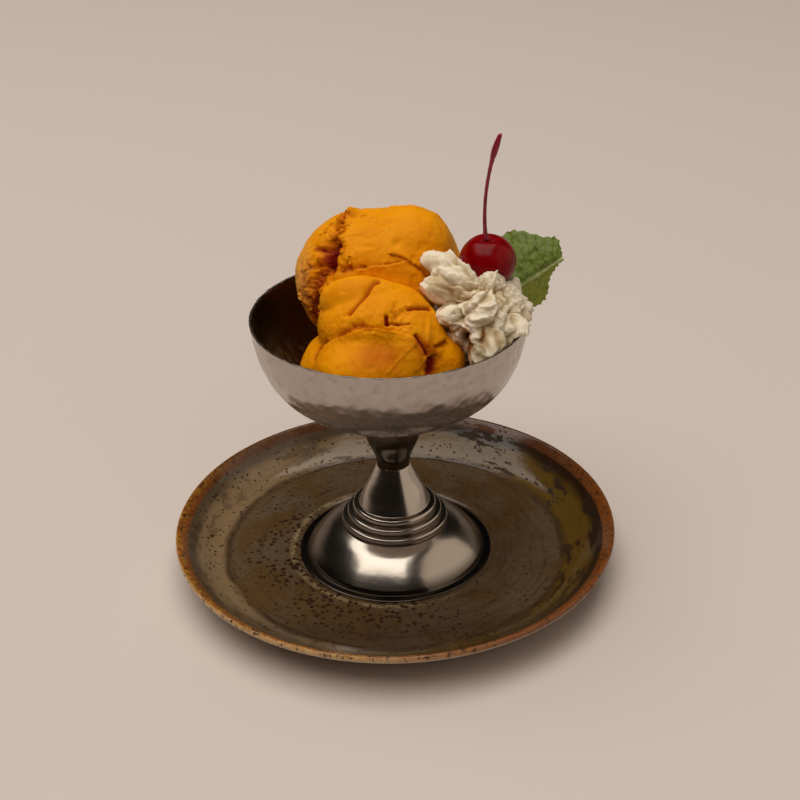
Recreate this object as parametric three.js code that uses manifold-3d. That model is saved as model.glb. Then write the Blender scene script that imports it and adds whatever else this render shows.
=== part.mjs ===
// Mango ice cream: two scoops with whipped cream, a cherry on its stem and a mint leaf, in a footed steel
// coupe that stands on a glazed saucer. Millimetres, +Z up, front towards -Y, origin under the saucer's centre.
import * as THREE from "three";
import { mergeVertices } from "three/addons/utils/BufferGeometryUtils.js";
import Module from "manifold-3d";

// Saucer
const SAUCER_R = 79.5;
const SAUCER_RIM_Z = 16.2;
const SAUCER_FOOT_R = 47;
const SAUCER_FLOOR_R = 61;
const SAUCER_FLOOR_Z = 5.0;
const WELL_R = 35.9;
const WELL_Z = 4.4;

// Coupe
const RIM_R = 47.4;
const RIM_Z = 99.66;
const WALL = 1.1;
const BOWL_SEAT_R = 11.2;
const BOWL_SEAT_Z = 57.4;
const NECK_FOOT_R = 5.8;
const NECK_FOOT_Z = 40.2;
const FOOT_R = 35;
const RING_COUNT = 3;
const RINGS_R = 19.2;
const RINGS_Z = 18.3;
const RING_STEP_R = 2.05;
const RING_STEP_Z = 2.6;

// Gap left between two pieces that rest against each other, and the wider one round the coarse scoop cutters
const GAP = 0.3;
const SCOOP_GAP = 0.75;

// Facets round each turned body, and rows of facets of each lobed one
const SAUCER_FACETS = 56;
const BOWL_FACETS = 52;
const FOOT_FACETS = 44;
const NECK_FACETS = 32;
const CHERRY_FACETS = 24;
const STEM_FACETS = 10;
const SCOOP_DETAIL = 7;
const CREAM_DETAIL = 8;
const CUTTER_DETAIL = 5;
const SLIVER = 0.03;

// Scoops: each is a set of lobes seen from a centre
const BACK_CENTRE = [-3.2, 17, 106];
const FRONT_CENTRE = [-2, -15, 97];
const CREAM_CENTRE = [30, -8, 103];

// Cherry, its stem and the leaf
const CHERRY_CENTRE = [33.1, 0, 117.2];
const CHERRY_R = 9.5;
const STEM_FOOT = [32.5, -0.1, 125.1];
const STEM_LENGTH = 35.8;
const STEM_LEAN = 4.4;
const LEAF_BASE = [38, 7, 100];
const LEAF_LENGTH = 25.6;
const LEAF_THICK = 0.7;
const LEAF_TIP = 0.6;

const wasm = await Module();
wasm.setup();

const FINISH = {
  mango: { color: 0xdd8a12, roughness: 0.55, metalness: 0 },
  cream: { color: 0xe9dcc4, roughness: 0.6, metalness: 0 },
  cherry: { color: 0x6e0410, roughness: 0.12, metalness: 0 },
  stem: { color: 0x6b0f1c, roughness: 0.4, metalness: 0 },
  mint: { color: 0x4d6b24, roughness: 0.5, metalness: 0 },
  bowl_steel: { color: 0xa09284, roughness: 0.45, metalness: 1 },
  foot_steel: { color: 0xb4aca2, roughness: 0.12, metalness: 1 },
  glaze: { color: 0x5c4628, roughness: 0.25, metalness: 0 },
};

const materials = Object.fromEntries(
  Object.entries(FINISH).map(([name, look]) => {
    const material = new THREE.MeshStandardMaterial(look);
    material.name = name;
    return [name, material];
  })
);

// Smooth noise from a fixed lattice, between -1 and 1
function lattice(i, j, k) {
  let h = (i * 374761393 + j * 668265263 + k * 2147483647 + 9176) | 0;
  h = Math.imul(h ^ (h >>> 13), 1274126177);
  h ^= h >>> 16;
  return ((h >>> 0) / 4294967295) * 2 - 1;
}

function noise(x, y, z) {
  const i = Math.floor(x);
  const j = Math.floor(y);
  const k = Math.floor(z);
  const fade = (t) => t * t * (3 - 2 * t);
  const u = fade(x - i);
  const v = fade(y - j);
  const w = fade(z - k);
  const mix = THREE.MathUtils.lerp;
  const row = (b, c) => mix(lattice(i, j + b, k + c), lattice(i + 1, j + b, k + c), u);
  return mix(mix(row(0, 0), row(1, 0), v), mix(row(0, 1), row(1, 1), v), w);
}

// A geometry as a solid that can be joined and cut
function toSolid(geometry) {
  const bare = geometry.index ? geometry.toNonIndexed() : geometry.clone();
  bare.deleteAttribute("normal");
  bare.deleteAttribute("uv");
  const merged = mergeVertices(bare, 1e-4);
  const kept = [];
  for (let i = 0; i < merged.index.count; i += 3) {
    const [a, b, c] = [0, 1, 2].map((n) => merged.index.getX(i + n));
    if (a !== b && b !== c && a !== c) kept.push(a, b, c);
  }
  const mesh = new wasm.Mesh({
    numProp: 3,
    vertProperties: merged.attributes.position.array,
    triVerts: new Uint32Array(kept),
  });
  return new wasm.Manifold(mesh);
}

// The largest body of a solid, without slivers, back as a geometry
function toGeometry(solid) {
  const bodies = solid.simplify(SLIVER).decompose();
  bodies.sort((a, b) => b.volume() - a.volume());
  const mesh = bodies[0].getMesh();
  const geometry = new THREE.BufferGeometry();
  const points = new Float32Array(mesh.numVert * 3);
  for (let i = 0; i < mesh.numVert; i++) {
    for (let n = 0; n < 3; n++) points[i * 3 + n] = mesh.vertProperties[i * mesh.numProp + n];
  }
  geometry.setAttribute("position", new THREE.BufferAttribute(points, 3));
  geometry.setIndex(Array.from(mesh.triVerts));
  return geometry;
}

// A turned body: the profile is a list of [radius, height], from the bottom on the axis round to the top
function turned(profile, segments) {
  const points = profile.map(([r, z]) => new THREE.Vector2(r, z));
  const geometry = new THREE.LatheGeometry(points, segments);
  geometry.rotateX(Math.PI / 2);
  return geometry;
}

// How far a ray from the origin goes before it leaves an ellipsoid, or 0 where it misses
function exitOf(lobe, origin, dir) {
  const [c, r] = [lobe.c, lobe.r];
  let a = 0;
  let b = 0;
  let d = -1;
  for (let n = 0; n < 3; n++) {
    const o = (origin[n] - c[n]) / r[n];
    const s = dir[n] / r[n];
    a += s * s;
    b += o * s;
    d += o * o;
  }
  const root = b * b - a * d;
  if (root <= 0) return 0;
  return Math.max(0, (-b + Math.sqrt(root)) / a);
}

// The distance to the outside of a set of lobes, with a narrow fillet where two of them meet
function lobedRadius(lobes, origin, dir, fillet) {
  const exits = lobes.map((lobe) => exitOf(lobe, origin, dir));
  const top = Math.max(...exits);
  const sum = exits.reduce((total, e) => total + Math.exp((e - top) / fillet), 0);
  return top + fillet * Math.log(sum);
}

// A closed body round a centre, whose radius in each direction comes from a function
function radialBody(centre, detail, radiusOf) {
  const ball = new THREE.IcosahedronGeometry(1, detail);
  const place = ball.attributes.position;
  const dir = new THREE.Vector3();
  for (let i = 0; i < place.count; i++) {
    dir.fromBufferAttribute(place, i).normalize();
    const key = [dir.x, dir.y, dir.z].map((v) => Math.round(v * 1e5) / 1e5);
    const radius = radiusOf(key);
    place.setXYZ(
      i,
      centre[0] + key[0] * radius,
      centre[1] + key[1] * radius,
      centre[2] + key[2] * radius
    );
  }
  return ball;
}

// Depth of a groove that follows a chain of directions
function groove(dir, chain, width) {
  let nearest = Infinity;
  for (let i = 0; i + 1 < chain.length; i++) {
    const [p, q] = [chain[i], chain[i + 1]];
    const line = q.map((v, n) => v - p[n]);
    const reach = dir.map((v, n) => v - p[n]);
    const length = line.reduce((t, v) => t + v * v, 0);
    const along = THREE.MathUtils.clamp(line.reduce((t, v, n) => t + v * reach[n], 0) / length, 0, 1);
    const away = Math.hypot(...reach.map((v, n) => v - line[n] * along));
    nearest = Math.min(nearest, away);
  }
  return Math.exp(-((nearest / width) ** 2));
}

// Points along a smooth curve through the given [radius, height] pairs
function smooth(pairs, count) {
  const curve = new THREE.SplineCurve(pairs.map(([r, z]) => new THREE.Vector2(r, z)));
  return curve.getPoints(count).map((p) => [p.x, p.y]);
}

// Saucer: shallow plate with a flat foot, a sloped wall and a slight well that takes the coupe's foot
function saucerGeometry() {
  const under = smooth(
    [
      [SAUCER_FOOT_R + 2.6, 0.8],
      [SAUCER_FLOOR_R + 1.5, 3.0],
      [SAUCER_R - 8, 8.9],
      [SAUCER_R - 0.5, 14.9],
    ],
    5
  );
  const inside = smooth(
    [
      [SAUCER_R - 1.5, SAUCER_RIM_Z - 0.15],
      [SAUCER_R - 7.3, 11.0],
      [SAUCER_FLOOR_R + 5.5, 6.9],
      [SAUCER_FLOOR_R, SAUCER_FLOOR_Z],
    ],
    6
  );
  return turned(
    [
      [0, 0],
      [SAUCER_FOOT_R, 0],
      ...under,
      [SAUCER_R, SAUCER_RIM_Z - 0.6],
      [SAUCER_R - 0.5, SAUCER_RIM_Z],
      ...inside,
      [WELL_R + 1.1, SAUCER_FLOOR_Z],
      [WELL_R, WELL_Z],
      [0, WELL_Z],
    ],
    SAUCER_FACETS
  );
}

// Outside of the bowl from its seat on the neck up to the rim
const BOWL_OUTSIDE = smooth(
  [
    [BOWL_SEAT_R, BOWL_SEAT_Z],
    [22.6, 64.5],
    [33.0, 70.2],
    [40.4, 77.2],
    [45.2, 87.0],
    [RIM_R, RIM_Z - 0.4],
  ],
  10
);

// The same line moved inwards by a wall thickness
function bowlInside(wall) {
  return BOWL_OUTSIDE.slice(1).map(([r, z], i) => {
    const before = BOWL_OUTSIDE[i];
    const after = BOWL_OUTSIDE[Math.min(i + 2, BOWL_OUTSIDE.length - 1)];
    const run = [after[0] - before[0], after[1] - before[1]];
    const length = Math.hypot(...run);
    return [r - (run[1] / length) * wall, z + (run[0] / length) * wall];
  });
}

function bowlGeometry() {
  const inside = bowlInside(WALL);
  const floor = inside[0][1] - 1.2;
  const lip = [
    [RIM_R - 0.25, RIM_Z],
    [RIM_R - WALL + 0.2, RIM_Z],
  ];
  const seat = [[0, BOWL_SEAT_Z]];
  return turned([...seat, ...BOWL_OUTSIDE, ...lip, ...inside.reverse(), [10, floor], [0, floor]], BOWL_FACETS);
}

// Everything beyond the bowl's inner wall, up to the rim: food is cut by it
function outsideOfBowl() {
  const inside = bowlInside(WALL + GAP);
  const floor = inside[0][1] - 1.2;
  const top = RIM_Z + GAP;
  return turned(
    [
      [0, 40],
      [90, 40],
      [90, top],
      [RIM_R - WALL - GAP, top],
      ...inside.reverse(),
      [10, floor],
      [0, floor],
    ],
    BOWL_FACETS
  );
}

// Neck: a slim trumpet that flares up to the bowl
function neckGeometry() {
  const side = smooth(
    [
      [NECK_FOOT_R, NECK_FOOT_Z],
      [6.5, 44.4],
      [9.4, 51.2],
      [BOWL_SEAT_R, BOWL_SEAT_Z],
    ],
    7
  );
  return turned([[0, NECK_FOOT_Z], ...side, [0, BOWL_SEAT_Z]], NECK_FACETS);
}

// Foot: a low dome with a flat flange, three turned rings and a crowned cone up to the neck
function footGeometry() {
  const dome = smooth(
    [
      [FOOT_R - 3.4, WELL_Z + 2.2],
      [27.8, 10.9],
      [RINGS_R + 0.5, RINGS_Z - 1.3],
    ],
    5
  );
  const rings = [];
  for (let i = 0; i < RING_COUNT; i++) {
    const r = RINGS_R - i * RING_STEP_R;
    const z = RINGS_Z + i * RING_STEP_Z;
    rings.push([r - 0.8, z - 1.1], [r, z], [r - 0.6, z + 1.2]);
  }
  const cone = smooth(
    [
      [12.9, RINGS_Z + RING_COUNT * RING_STEP_Z - 1.2],
      [11.0, 29.2],
      [8.5, 34.2],
      [NECK_FOOT_R, NECK_FOOT_Z],
    ],
    5
  );
  return turned(
    [
      [0, WELL_Z],
      [FOOT_R, WELL_Z],
      [FOOT_R, WELL_Z + 0.6],
      [FOOT_R - 2.6, WELL_Z + 0.9],
      ...dome,
      ...rings,
      ...cone,
      [0, NECK_FOOT_Z],
    ],
    FOOT_FACETS
  );
}

// Back scoop: a rolled ball, longer to the right than it is high, settled into the bowl
const BACK_LOBES = [
  { c: [-9.4, 17.5, 104.7], r: [22.3, 22.8, 23.0] },
  { c: [1.5, 17.5, 105.4], r: [24.7, 22.6, 23.0] },
  { c: [8.9, 15.5, 117.7], r: [12.8, 13.2, 12.2] },
  { c: [0, 13, 88], r: [17, 19, 26] },
];
const BACK_FILLET = 0.9;
// Crumbly crevice down the left of the back scoop, and a fold across its face, as directions from its centre
const BACK_CREVICE = [
  [-0.4, 0.01, 0.92],
  [-0.54, -0.33, 0.77],
  [-0.61, -0.57, 0.55],
  [-0.7, -0.62, 0.36],
  [-0.77, -0.62, 0.14],
  [-0.8, -0.6, -0.09],
  [-0.8, -0.49, -0.35],
];
const BACK_FOLD = [
  [-0.25, -0.85, 0.47],
  [0.15, -0.84, 0.52],
  [0.32, -0.79, 0.53],
  [0.65, -0.72, 0.26],
];

function backRadius(grow) {
  return (dir) => {
    const [x, y, z] = dir;
    const base = lobedRadius(BACK_LOBES, BACK_CENTRE, dir, BACK_FILLET);
    const lumps = 0.55 * noise(x * 3.1 + 4, y * 3.1, z * 3.1) + 0.3 * noise(x * 7, y * 7 + 9, z * 7);
    const crumbs = 1 + 0.5 * noise(x * 12, y * 12, z * 12 + 5);
    const crevice = 2.6 * groove(dir, BACK_CREVICE, 0.15) * crumbs;
    const fold = 0.9 * groove(dir, BACK_FOLD, 0.09);
    return base + lumps - crevice - fold + grow;
  };
}

// Front scoop: a smaller dome over a broad smooth lobe, with a facet and a bright lobe to the right
const FRONT_LOBES = [
  { c: [-4.0, -13.0, 101.0], r: [19.4, 16.5, 14.4] },
  { c: [-9.9, -11.9, 110.5], r: [12.4, 6.0, 7.6] },
  { c: [-7.4, -23.4, 90.6], r: [17.6, 16.8, 12.6] },
  { c: [4.4, -17.0, 91.2], r: [16.1, 17.2, 17.1] },
  { c: [14.9, -17.0, 89.5], r: [9.8, 12.2, 8.9] },
  { c: [-17.1, -14.5, 85.9], r: [13.0, 15.5, 12.2] },
  { c: [-1, -11, 80], r: [23, 22, 19] },
];
const FRONT_FILLET = 0.6;
// A slanting crevice, the pit under the dome and the deep crevice beside the facet
const FRONT_CREVICES = [
  {
    chain: [
      [-0.04, 0.01, 1.0],
      [-0.31, -0.36, 0.88],
      [-0.53, -0.49, 0.69],
    ],
    width: 0.07,
    depth: 0.9,
  },
  {
    chain: [
      [0.1, -0.7, 0.71],
      [0.36, -0.66, 0.66],
    ],
    width: 0.13,
    depth: 2.0,
  },
  {
    chain: [
      [0.55, -0.75, 0.36],
      [0.64, -0.76, 0.12],
      [0.69, -0.72, -0.08],
    ],
    width: 0.1,
    depth: 1.8,
  },
];

function frontRadius(grow) {
  return (dir) => {
    const [x, y, z] = dir;
    const base = lobedRadius(FRONT_LOBES, FRONT_CENTRE, dir, FRONT_FILLET);
    const lumps = 0.45 * noise(x * 3.3 + 7, y * 3.3, z * 3.3) + 0.25 * noise(x * 8, y * 8 + 3, z * 8);
    const cuts = FRONT_CREVICES.reduce((t, c) => t + c.depth * groove(dir, c.chain, c.width), 0);
    return base + lumps - cuts + grow;
  };
}

// Whipped cream: a piped mound whose arms reach left, front and right
const CREAM_LOBES = [
  { c: [30, -7, 101], r: [15, 15, 14] },
  { c: [18.1, -1.2, 118.3], r: [7.4, 4.6, 3.2] },
  { c: [25.5, -1.5, 114], r: [8, 8, 7] },
  { c: [19.0, -7.6, 111.8], r: [8.0, 6.2, 6.2] },
  { c: [21.6, -14, 104.2], r: [6.8, 6.4, 5.4] },
  { c: [30.6, -18, 105.4], r: [7.4, 7.4, 8.6] },
  { c: [31.4, -24.4, 97.6], r: [7, 7.6, 7.4] },
  { c: [39.1, -17.4, 98.6], r: [6.3, 7, 7.6] },
  { c: [41.8, -5.5, 99.2], r: [6.3, 7.6, 7.1] },
  { c: [33.6, -9.2, 112.4], r: [4.8, 4.4, 5.6] },
  { c: [41.8, -1.5, 107.4], r: [2.6, 3.8, 3.6] },
  { c: [31, 7.5, 102], r: [10.5, 9, 8] },
];
const CREAM_FILLET = 0.5;

function creamRadius(grow) {
  return (dir) => {
    const [x, y, z] = dir;
    const base = lobedRadius(CREAM_LOBES, CREAM_CENTRE, dir, CREAM_FILLET);
    const folds = 0.7 * noise(x * 6 + 2, y * 6, z * 6) + 0.45 * noise(x * 11, y * 11 + 4, z * 11);
    return base + folds + grow;
  };
}

// Cherry: a slightly flattened ball with a dimple for the stem
const CHERRY_DIMPLE = 1.9;

function cherryGeometry(grow) {
  const dimple = grow > 0 ? 0 : CHERRY_DIMPLE;
  const top = CHERRY_R * 0.95 + grow;
  const profile = [[0, -top]];
  const steps = 13;
  for (let i = 1; i < steps; i++) {
    const a = -Math.PI / 2 + (Math.PI * i) / steps;
    const r = Math.cos(a) * (CHERRY_R + grow);
    const dent = dimple * Math.exp(-((r / 3.1) ** 2)) * (a > 0 ? 1 : 0.25);
    profile.push([r, Math.sin(a) * (CHERRY_R * 0.97 + grow) - Math.sign(a) * dent]);
  }
  profile.push([0, top - dimple]);
  const geometry = turned(profile, CHERRY_FACETS);
  geometry.translate(...CHERRY_CENTRE);
  return geometry;
}

// Stem: a thin turned rod that thickens to a knob near its cut end, then leans to the right
function stemGeometry() {
  const side = smooth(
    [
      [1.05, 0],
      [0.72, 2.2],
      [0.58, 9],
      [0.6, 22],
      [0.72, 26.5],
      [1.15, 30.6],
      [0.85, 34],
      [0.66, STEM_LENGTH],
    ],
    11
  );
  const geometry = turned([[0, 0], ...side, [0, STEM_LENGTH]], STEM_FACETS);
  const place = geometry.attributes.position;
  for (let i = 0; i < place.count; i++) {
    const share = place.getZ(i) / STEM_LENGTH;
    const lean = STEM_LEAN * (1.86 * share ** 2 - 0.86 * share);
    place.setX(i, place.getX(i) + lean);
  }
  geometry.translate(...STEM_FOOT);
  return geometry;
}

// Leaf: both faces are the same grid, u along the midrib and v across, lifted by veins and waves. Its broad
// half stands up to the left of the midrib and its other half folds back.
const LEAF_ALONG = new THREE.Vector3(0.848, 0.254, 0.466).normalize();
const LEAF_ACROSS = new THREE.Vector3(-0.531, 0.415, 0.739);
LEAF_ACROSS.addScaledVector(LEAF_ALONG, -LEAF_ACROSS.dot(LEAF_ALONG)).normalize();
const LEAF_UP = LEAF_ALONG.clone().cross(LEAF_ACROSS).normalize();
const LEAF_FOLD = 0.95;
const LEAF_ROWS = 14;
const LEAF_COLUMNS = 10;
// Edge of each half, as [along, across] from the base
const LEAF_BROAD_EDGE = smooth(
  [
    [0, 0],
    [0.2, 8.6],
    [7.6, 15.6],
    [14.8, 18.0],
    [19.0, 15.8],
    [24.2, 9.6],
    [27.8, 6.8],
    [26.8, 2.6],
    [LEAF_LENGTH, LEAF_TIP],
  ],
  LEAF_ROWS
);
const LEAF_NARROW_EDGE = smooth(
  [
    [0, 0],
    [4.0, 7.4],
    [9.9, 10.9],
    [15.2, 10.8],
    [18.6, 6.4],
    [22.4, 3.0],
    [LEAF_LENGTH, LEAF_TIP],
  ],
  LEAF_ROWS
);

// A point of an edge, with fine teeth
function edgeAt(edge, share) {
  const tooth = 0.3 * Math.sin(share * 64) * Math.sin(Math.PI * share);
  return edge[Math.round(share * LEAF_ROWS)].map((v) => v + tooth);
}

function leafPoint(u, v, side) {
  const edge = edgeAt(v > 0 ? LEAF_BROAD_EDGE : LEAF_NARROW_EDGE, u);
  const far = Math.abs(v);
  const rib = u * LEAF_LENGTH;
  const along = THREE.MathUtils.lerp(rib, edge[0], far);
  const across = edge[1] * far;
  const vein = 0.35 * Math.sin(along * 1.5 - across * 0.9) * Math.sin(Math.PI * far) ** 0.7;
  const trough = 0.45 * Math.exp(-((across / 0.9) ** 2));
  const wave = 0.7 * Math.sin(along * 0.36 + 1) * far;
  const lift = vein + wave - trough - 0.02 * across * across + (side * LEAF_THICK) / 2;
  const sign = Math.sign(v);
  const fold = (LEAF_FOLD * (1 - sign)) / 2;
  return new THREE.Vector3(...LEAF_BASE)
    .addScaledVector(LEAF_ALONG, along)
    .addScaledVector(LEAF_ACROSS, sign * across * Math.cos(fold) + lift * Math.sin(fold))
    .addScaledVector(LEAF_UP, lift * Math.cos(fold) - across * Math.sin(fold));
}

function leafGeometry() {
  const points = [];
  const faces = [];
  const at = (side, i, j) => (side * (LEAF_ROWS + 1) + i) * (LEAF_COLUMNS + 1) + j;
  for (const side of [-1, 1]) {
    for (let i = 0; i <= LEAF_ROWS; i++) {
      for (let j = 0; j <= LEAF_COLUMNS; j++) {
        points.push(...leafPoint(i / LEAF_ROWS, (2 * j) / LEAF_COLUMNS - 1, side).toArray());
      }
    }
  }
  const quad = (a, b, c, d) => faces.push(a, b, c, a, c, d);
  for (let i = 0; i < LEAF_ROWS; i++) {
    for (let j = 0; j < LEAF_COLUMNS; j++) {
      faces.push(at(0, i, j), at(0, i, j + 1), at(0, i + 1, j + 1));
      faces.push(at(0, i, j), at(0, i + 1, j + 1), at(0, i + 1, j));
      faces.push(at(1, i, j), at(1, i + 1, j + 1), at(1, i, j + 1));
      faces.push(at(1, i, j), at(1, i + 1, j), at(1, i + 1, j + 1));
    }
    quad(at(0, i, 0), at(0, i + 1, 0), at(1, i + 1, 0), at(1, i, 0));
    quad(at(0, i + 1, LEAF_COLUMNS), at(0, i, LEAF_COLUMNS), at(1, i, LEAF_COLUMNS), at(1, i + 1, LEAF_COLUMNS));
  }
  for (let j = 0; j < LEAF_COLUMNS; j++) {
    quad(at(0, 0, j + 1), at(0, 0, j), at(1, 0, j), at(1, 0, j + 1));
    quad(at(0, LEAF_ROWS, j), at(0, LEAF_ROWS, j + 1), at(1, LEAF_ROWS, j + 1), at(1, LEAF_ROWS, j));
  }
  const geometry = new THREE.BufferGeometry();
  geometry.setAttribute("position", new THREE.Float32BufferAttribute(points, 3));
  geometry.setIndex(faces);
  return geometry;
}

// The food, each piece cut back to leave a gap to the pieces it rests against
function food() {
  const lobed = (centre, detail, radiusOf) => toSolid(radialBody(centre, detail, radiusOf));
  const shell = toSolid(outsideOfBowl());
  const front = lobed(FRONT_CENTRE, SCOOP_DETAIL, frontRadius(0)).subtract(shell);
  const frontGrown = lobed(FRONT_CENTRE, CUTTER_DETAIL, frontRadius(SCOOP_GAP));
  const back = lobed(BACK_CENTRE, SCOOP_DETAIL, backRadius(0)).subtract(shell);
  const backGrown = lobed(BACK_CENTRE, CUTTER_DETAIL, backRadius(SCOOP_GAP));
  const cherryGrown = toSolid(cherryGeometry(GAP));
  const cream = lobed(CREAM_CENTRE, CREAM_DETAIL, creamRadius(0)).subtract(shell).subtract(cherryGrown);
  const creamGrown = lobed(CREAM_CENTRE, CREAM_DETAIL, creamRadius(GAP));
  const leaf = toSolid(leafGeometry()).subtract(creamGrown).subtract(cherryGrown);
  return {
    scoop_front: toGeometry(front),
    scoop_back: toGeometry(back.subtract(frontGrown)),
    whipped_cream: toGeometry(cream.subtract(frontGrown).subtract(backGrown)),
    mint_leaf: toGeometry(leaf),
  };
}

const part = new THREE.Group();
part.name = "mango_ice_cream";

function add(name, geometry, finish) {
  const mesh = new THREE.Mesh(geometry, materials[finish]);
  mesh.name = name;
  part.add(mesh);
}

const pieces = food();
add("saucer", saucerGeometry(), "glaze");
add("coupe_foot", footGeometry(), "foot_steel");
add("coupe_neck", neckGeometry(), "bowl_steel");
add("coupe_bowl", bowlGeometry(), "bowl_steel");
add("scoop_back", pieces.scoop_back, "mango");
add("scoop_front", pieces.scoop_front, "mango");
add("whipped_cream", pieces.whipped_cream, "cream");
add("cherry", cherryGeometry(0), "cherry");
add("cherry_stem", stemGeometry(), "stem");
add("mint_leaf", pieces.mint_leaf, "mint");

export default part;
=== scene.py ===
"""Mango ice cream in a footed steel coupe on a glazed saucer: meshes, finishes, light and camera.

Sizes are in millimetres until a mesh is made, and metres in the meshes. Front is towards -Y and up is +Z.
"""
import logging
import math
from dataclasses import dataclass, field
from enum import Enum

import bmesh
import bpy
import numpy as np
from mathutils import Matrix


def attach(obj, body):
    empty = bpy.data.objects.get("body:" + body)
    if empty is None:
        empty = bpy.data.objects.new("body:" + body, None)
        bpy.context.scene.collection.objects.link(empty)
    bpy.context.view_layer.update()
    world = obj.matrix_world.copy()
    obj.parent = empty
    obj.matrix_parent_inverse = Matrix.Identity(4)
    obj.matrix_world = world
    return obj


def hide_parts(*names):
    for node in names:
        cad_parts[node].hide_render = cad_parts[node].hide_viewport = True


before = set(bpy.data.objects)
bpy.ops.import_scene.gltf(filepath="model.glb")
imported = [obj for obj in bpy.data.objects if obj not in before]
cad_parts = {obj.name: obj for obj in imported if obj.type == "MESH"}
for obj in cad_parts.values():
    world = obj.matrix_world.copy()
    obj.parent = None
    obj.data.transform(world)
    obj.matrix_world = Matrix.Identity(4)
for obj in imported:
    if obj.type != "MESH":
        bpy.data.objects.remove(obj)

log = logging.getLogger("coupe")

MM = 0.001
SEED = 11
CHART = (240, 480)
NECK_TOP = 57.4
BALL_LEVEL = 7
FOOD_GAP = 0.1
SMOOTH = {"interpolation_type": "SMOOTHSTEP"}

Profile = list[tuple[float, float]]
Direction = tuple[float, float, float]
Tree = bpy.types.NodeTree
Socket = bpy.types.NodeSocket
Material = bpy.types.Material


def linear(code: str) -> tuple[float, float, float, float]:
    """Turn an sRGB hex colour into linear RGBA.

    Args:
        code: Six hex digits with a leading hash.

    Returns:
        The linear colour with full alpha.
    """
    parts = [int(code[i:i + 2], 16) / 255 for i in (1, 3, 5)]
    bent = [c / 12.92 if c <= 0.04045 else ((c + 0.055) / 1.055) ** 2.4 for c in parts]
    return (bent[0], bent[1], bent[2], 1.0)


def add_node(
    tree: Tree, kind: str, feeds: dict | None = None, out: int | str | None = None, **settings: object
) -> bpy.types.Node | Socket:
    """Add a node, set its properties, and give its inputs values or links.

    Args:
        tree: The node tree that gets the node.
        kind: Blender's name for the node type.
        feeds: Values, hex colours or output sockets, by input name or number.
        out: The output to return, by name or number.
        settings: Properties of the node itself.

    Returns:
        That output, or the new node where none is asked for.
    """
    made = tree.nodes.new(kind)
    for name, value in settings.items():
        setattr(made, name, value)
    for key, value in (feeds or {}).items():
        if isinstance(value, Socket):
            tree.links.new(value, made.inputs[key])
        elif isinstance(value, str) and value.startswith("#"):
            made.inputs[key].default_value = linear(value)
        else:
            made.inputs[key].default_value = value
    return made if out is None else made.outputs[out]


def new_material(name: str) -> tuple[Material, Tree]:
    """Make an empty node material.

    Args:
        name: The material's name.

    Returns:
        The material and its node tree.
    """
    material = bpy.data.materials.new(name)
    material.use_nodes = True
    material.node_tree.nodes.clear()
    return material, material.node_tree


def close_material(material: Material, feeds: dict[str, object]) -> Material:
    """Give a material its shader.

    Args:
        material: The material.
        feeds: What the shader's inputs get.

    Returns:
        The material.
    """
    tree = material.node_tree
    shader = add_node(tree, "ShaderNodeBsdfPrincipled", feeds, "BSDF")
    add_node(tree, "ShaderNodeOutputMaterial", {"Surface": shader})
    return material


def overlap(tree: Tree, full: object, *steps: tuple[Socket, float, float]) -> Socket:
    """Multiply smooth steps, each from 0 to 1 as its value goes from one number to another.

    Args:
        tree: The node tree.
        full: The result where every step is 1, as a number or a socket.
        steps: Each step's value, the number at which it is 0 and the one at which it is 1.

    Returns:
        The result's socket.
    """
    for value, low, high in steps:
        feeds = {"Value": value, "From Min": low, "From Max": high, "To Max": full}
        full = add_node(tree, "ShaderNodeMapRange", feeds, 0, **SMOOTH)
    return full


def coats(tree: Tree, colour: object, *layers: tuple) -> Socket:
    """Lay colours over one another.

    Args:
        tree: The node tree.
        colour: The lowest colour, as hex digits or a socket.
        layers: Each coat's colour, its full share, and the steps of overlap() that limit it.

    Returns:
        The top colour's socket.
    """
    for other, full, *steps in layers:
        share = overlap(tree, full, *steps)
        colour = add_node(tree, "ShaderNodeMix", {0: share, 6: colour, 7: other}, 2, data_type="RGBA")
    return colour


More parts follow.
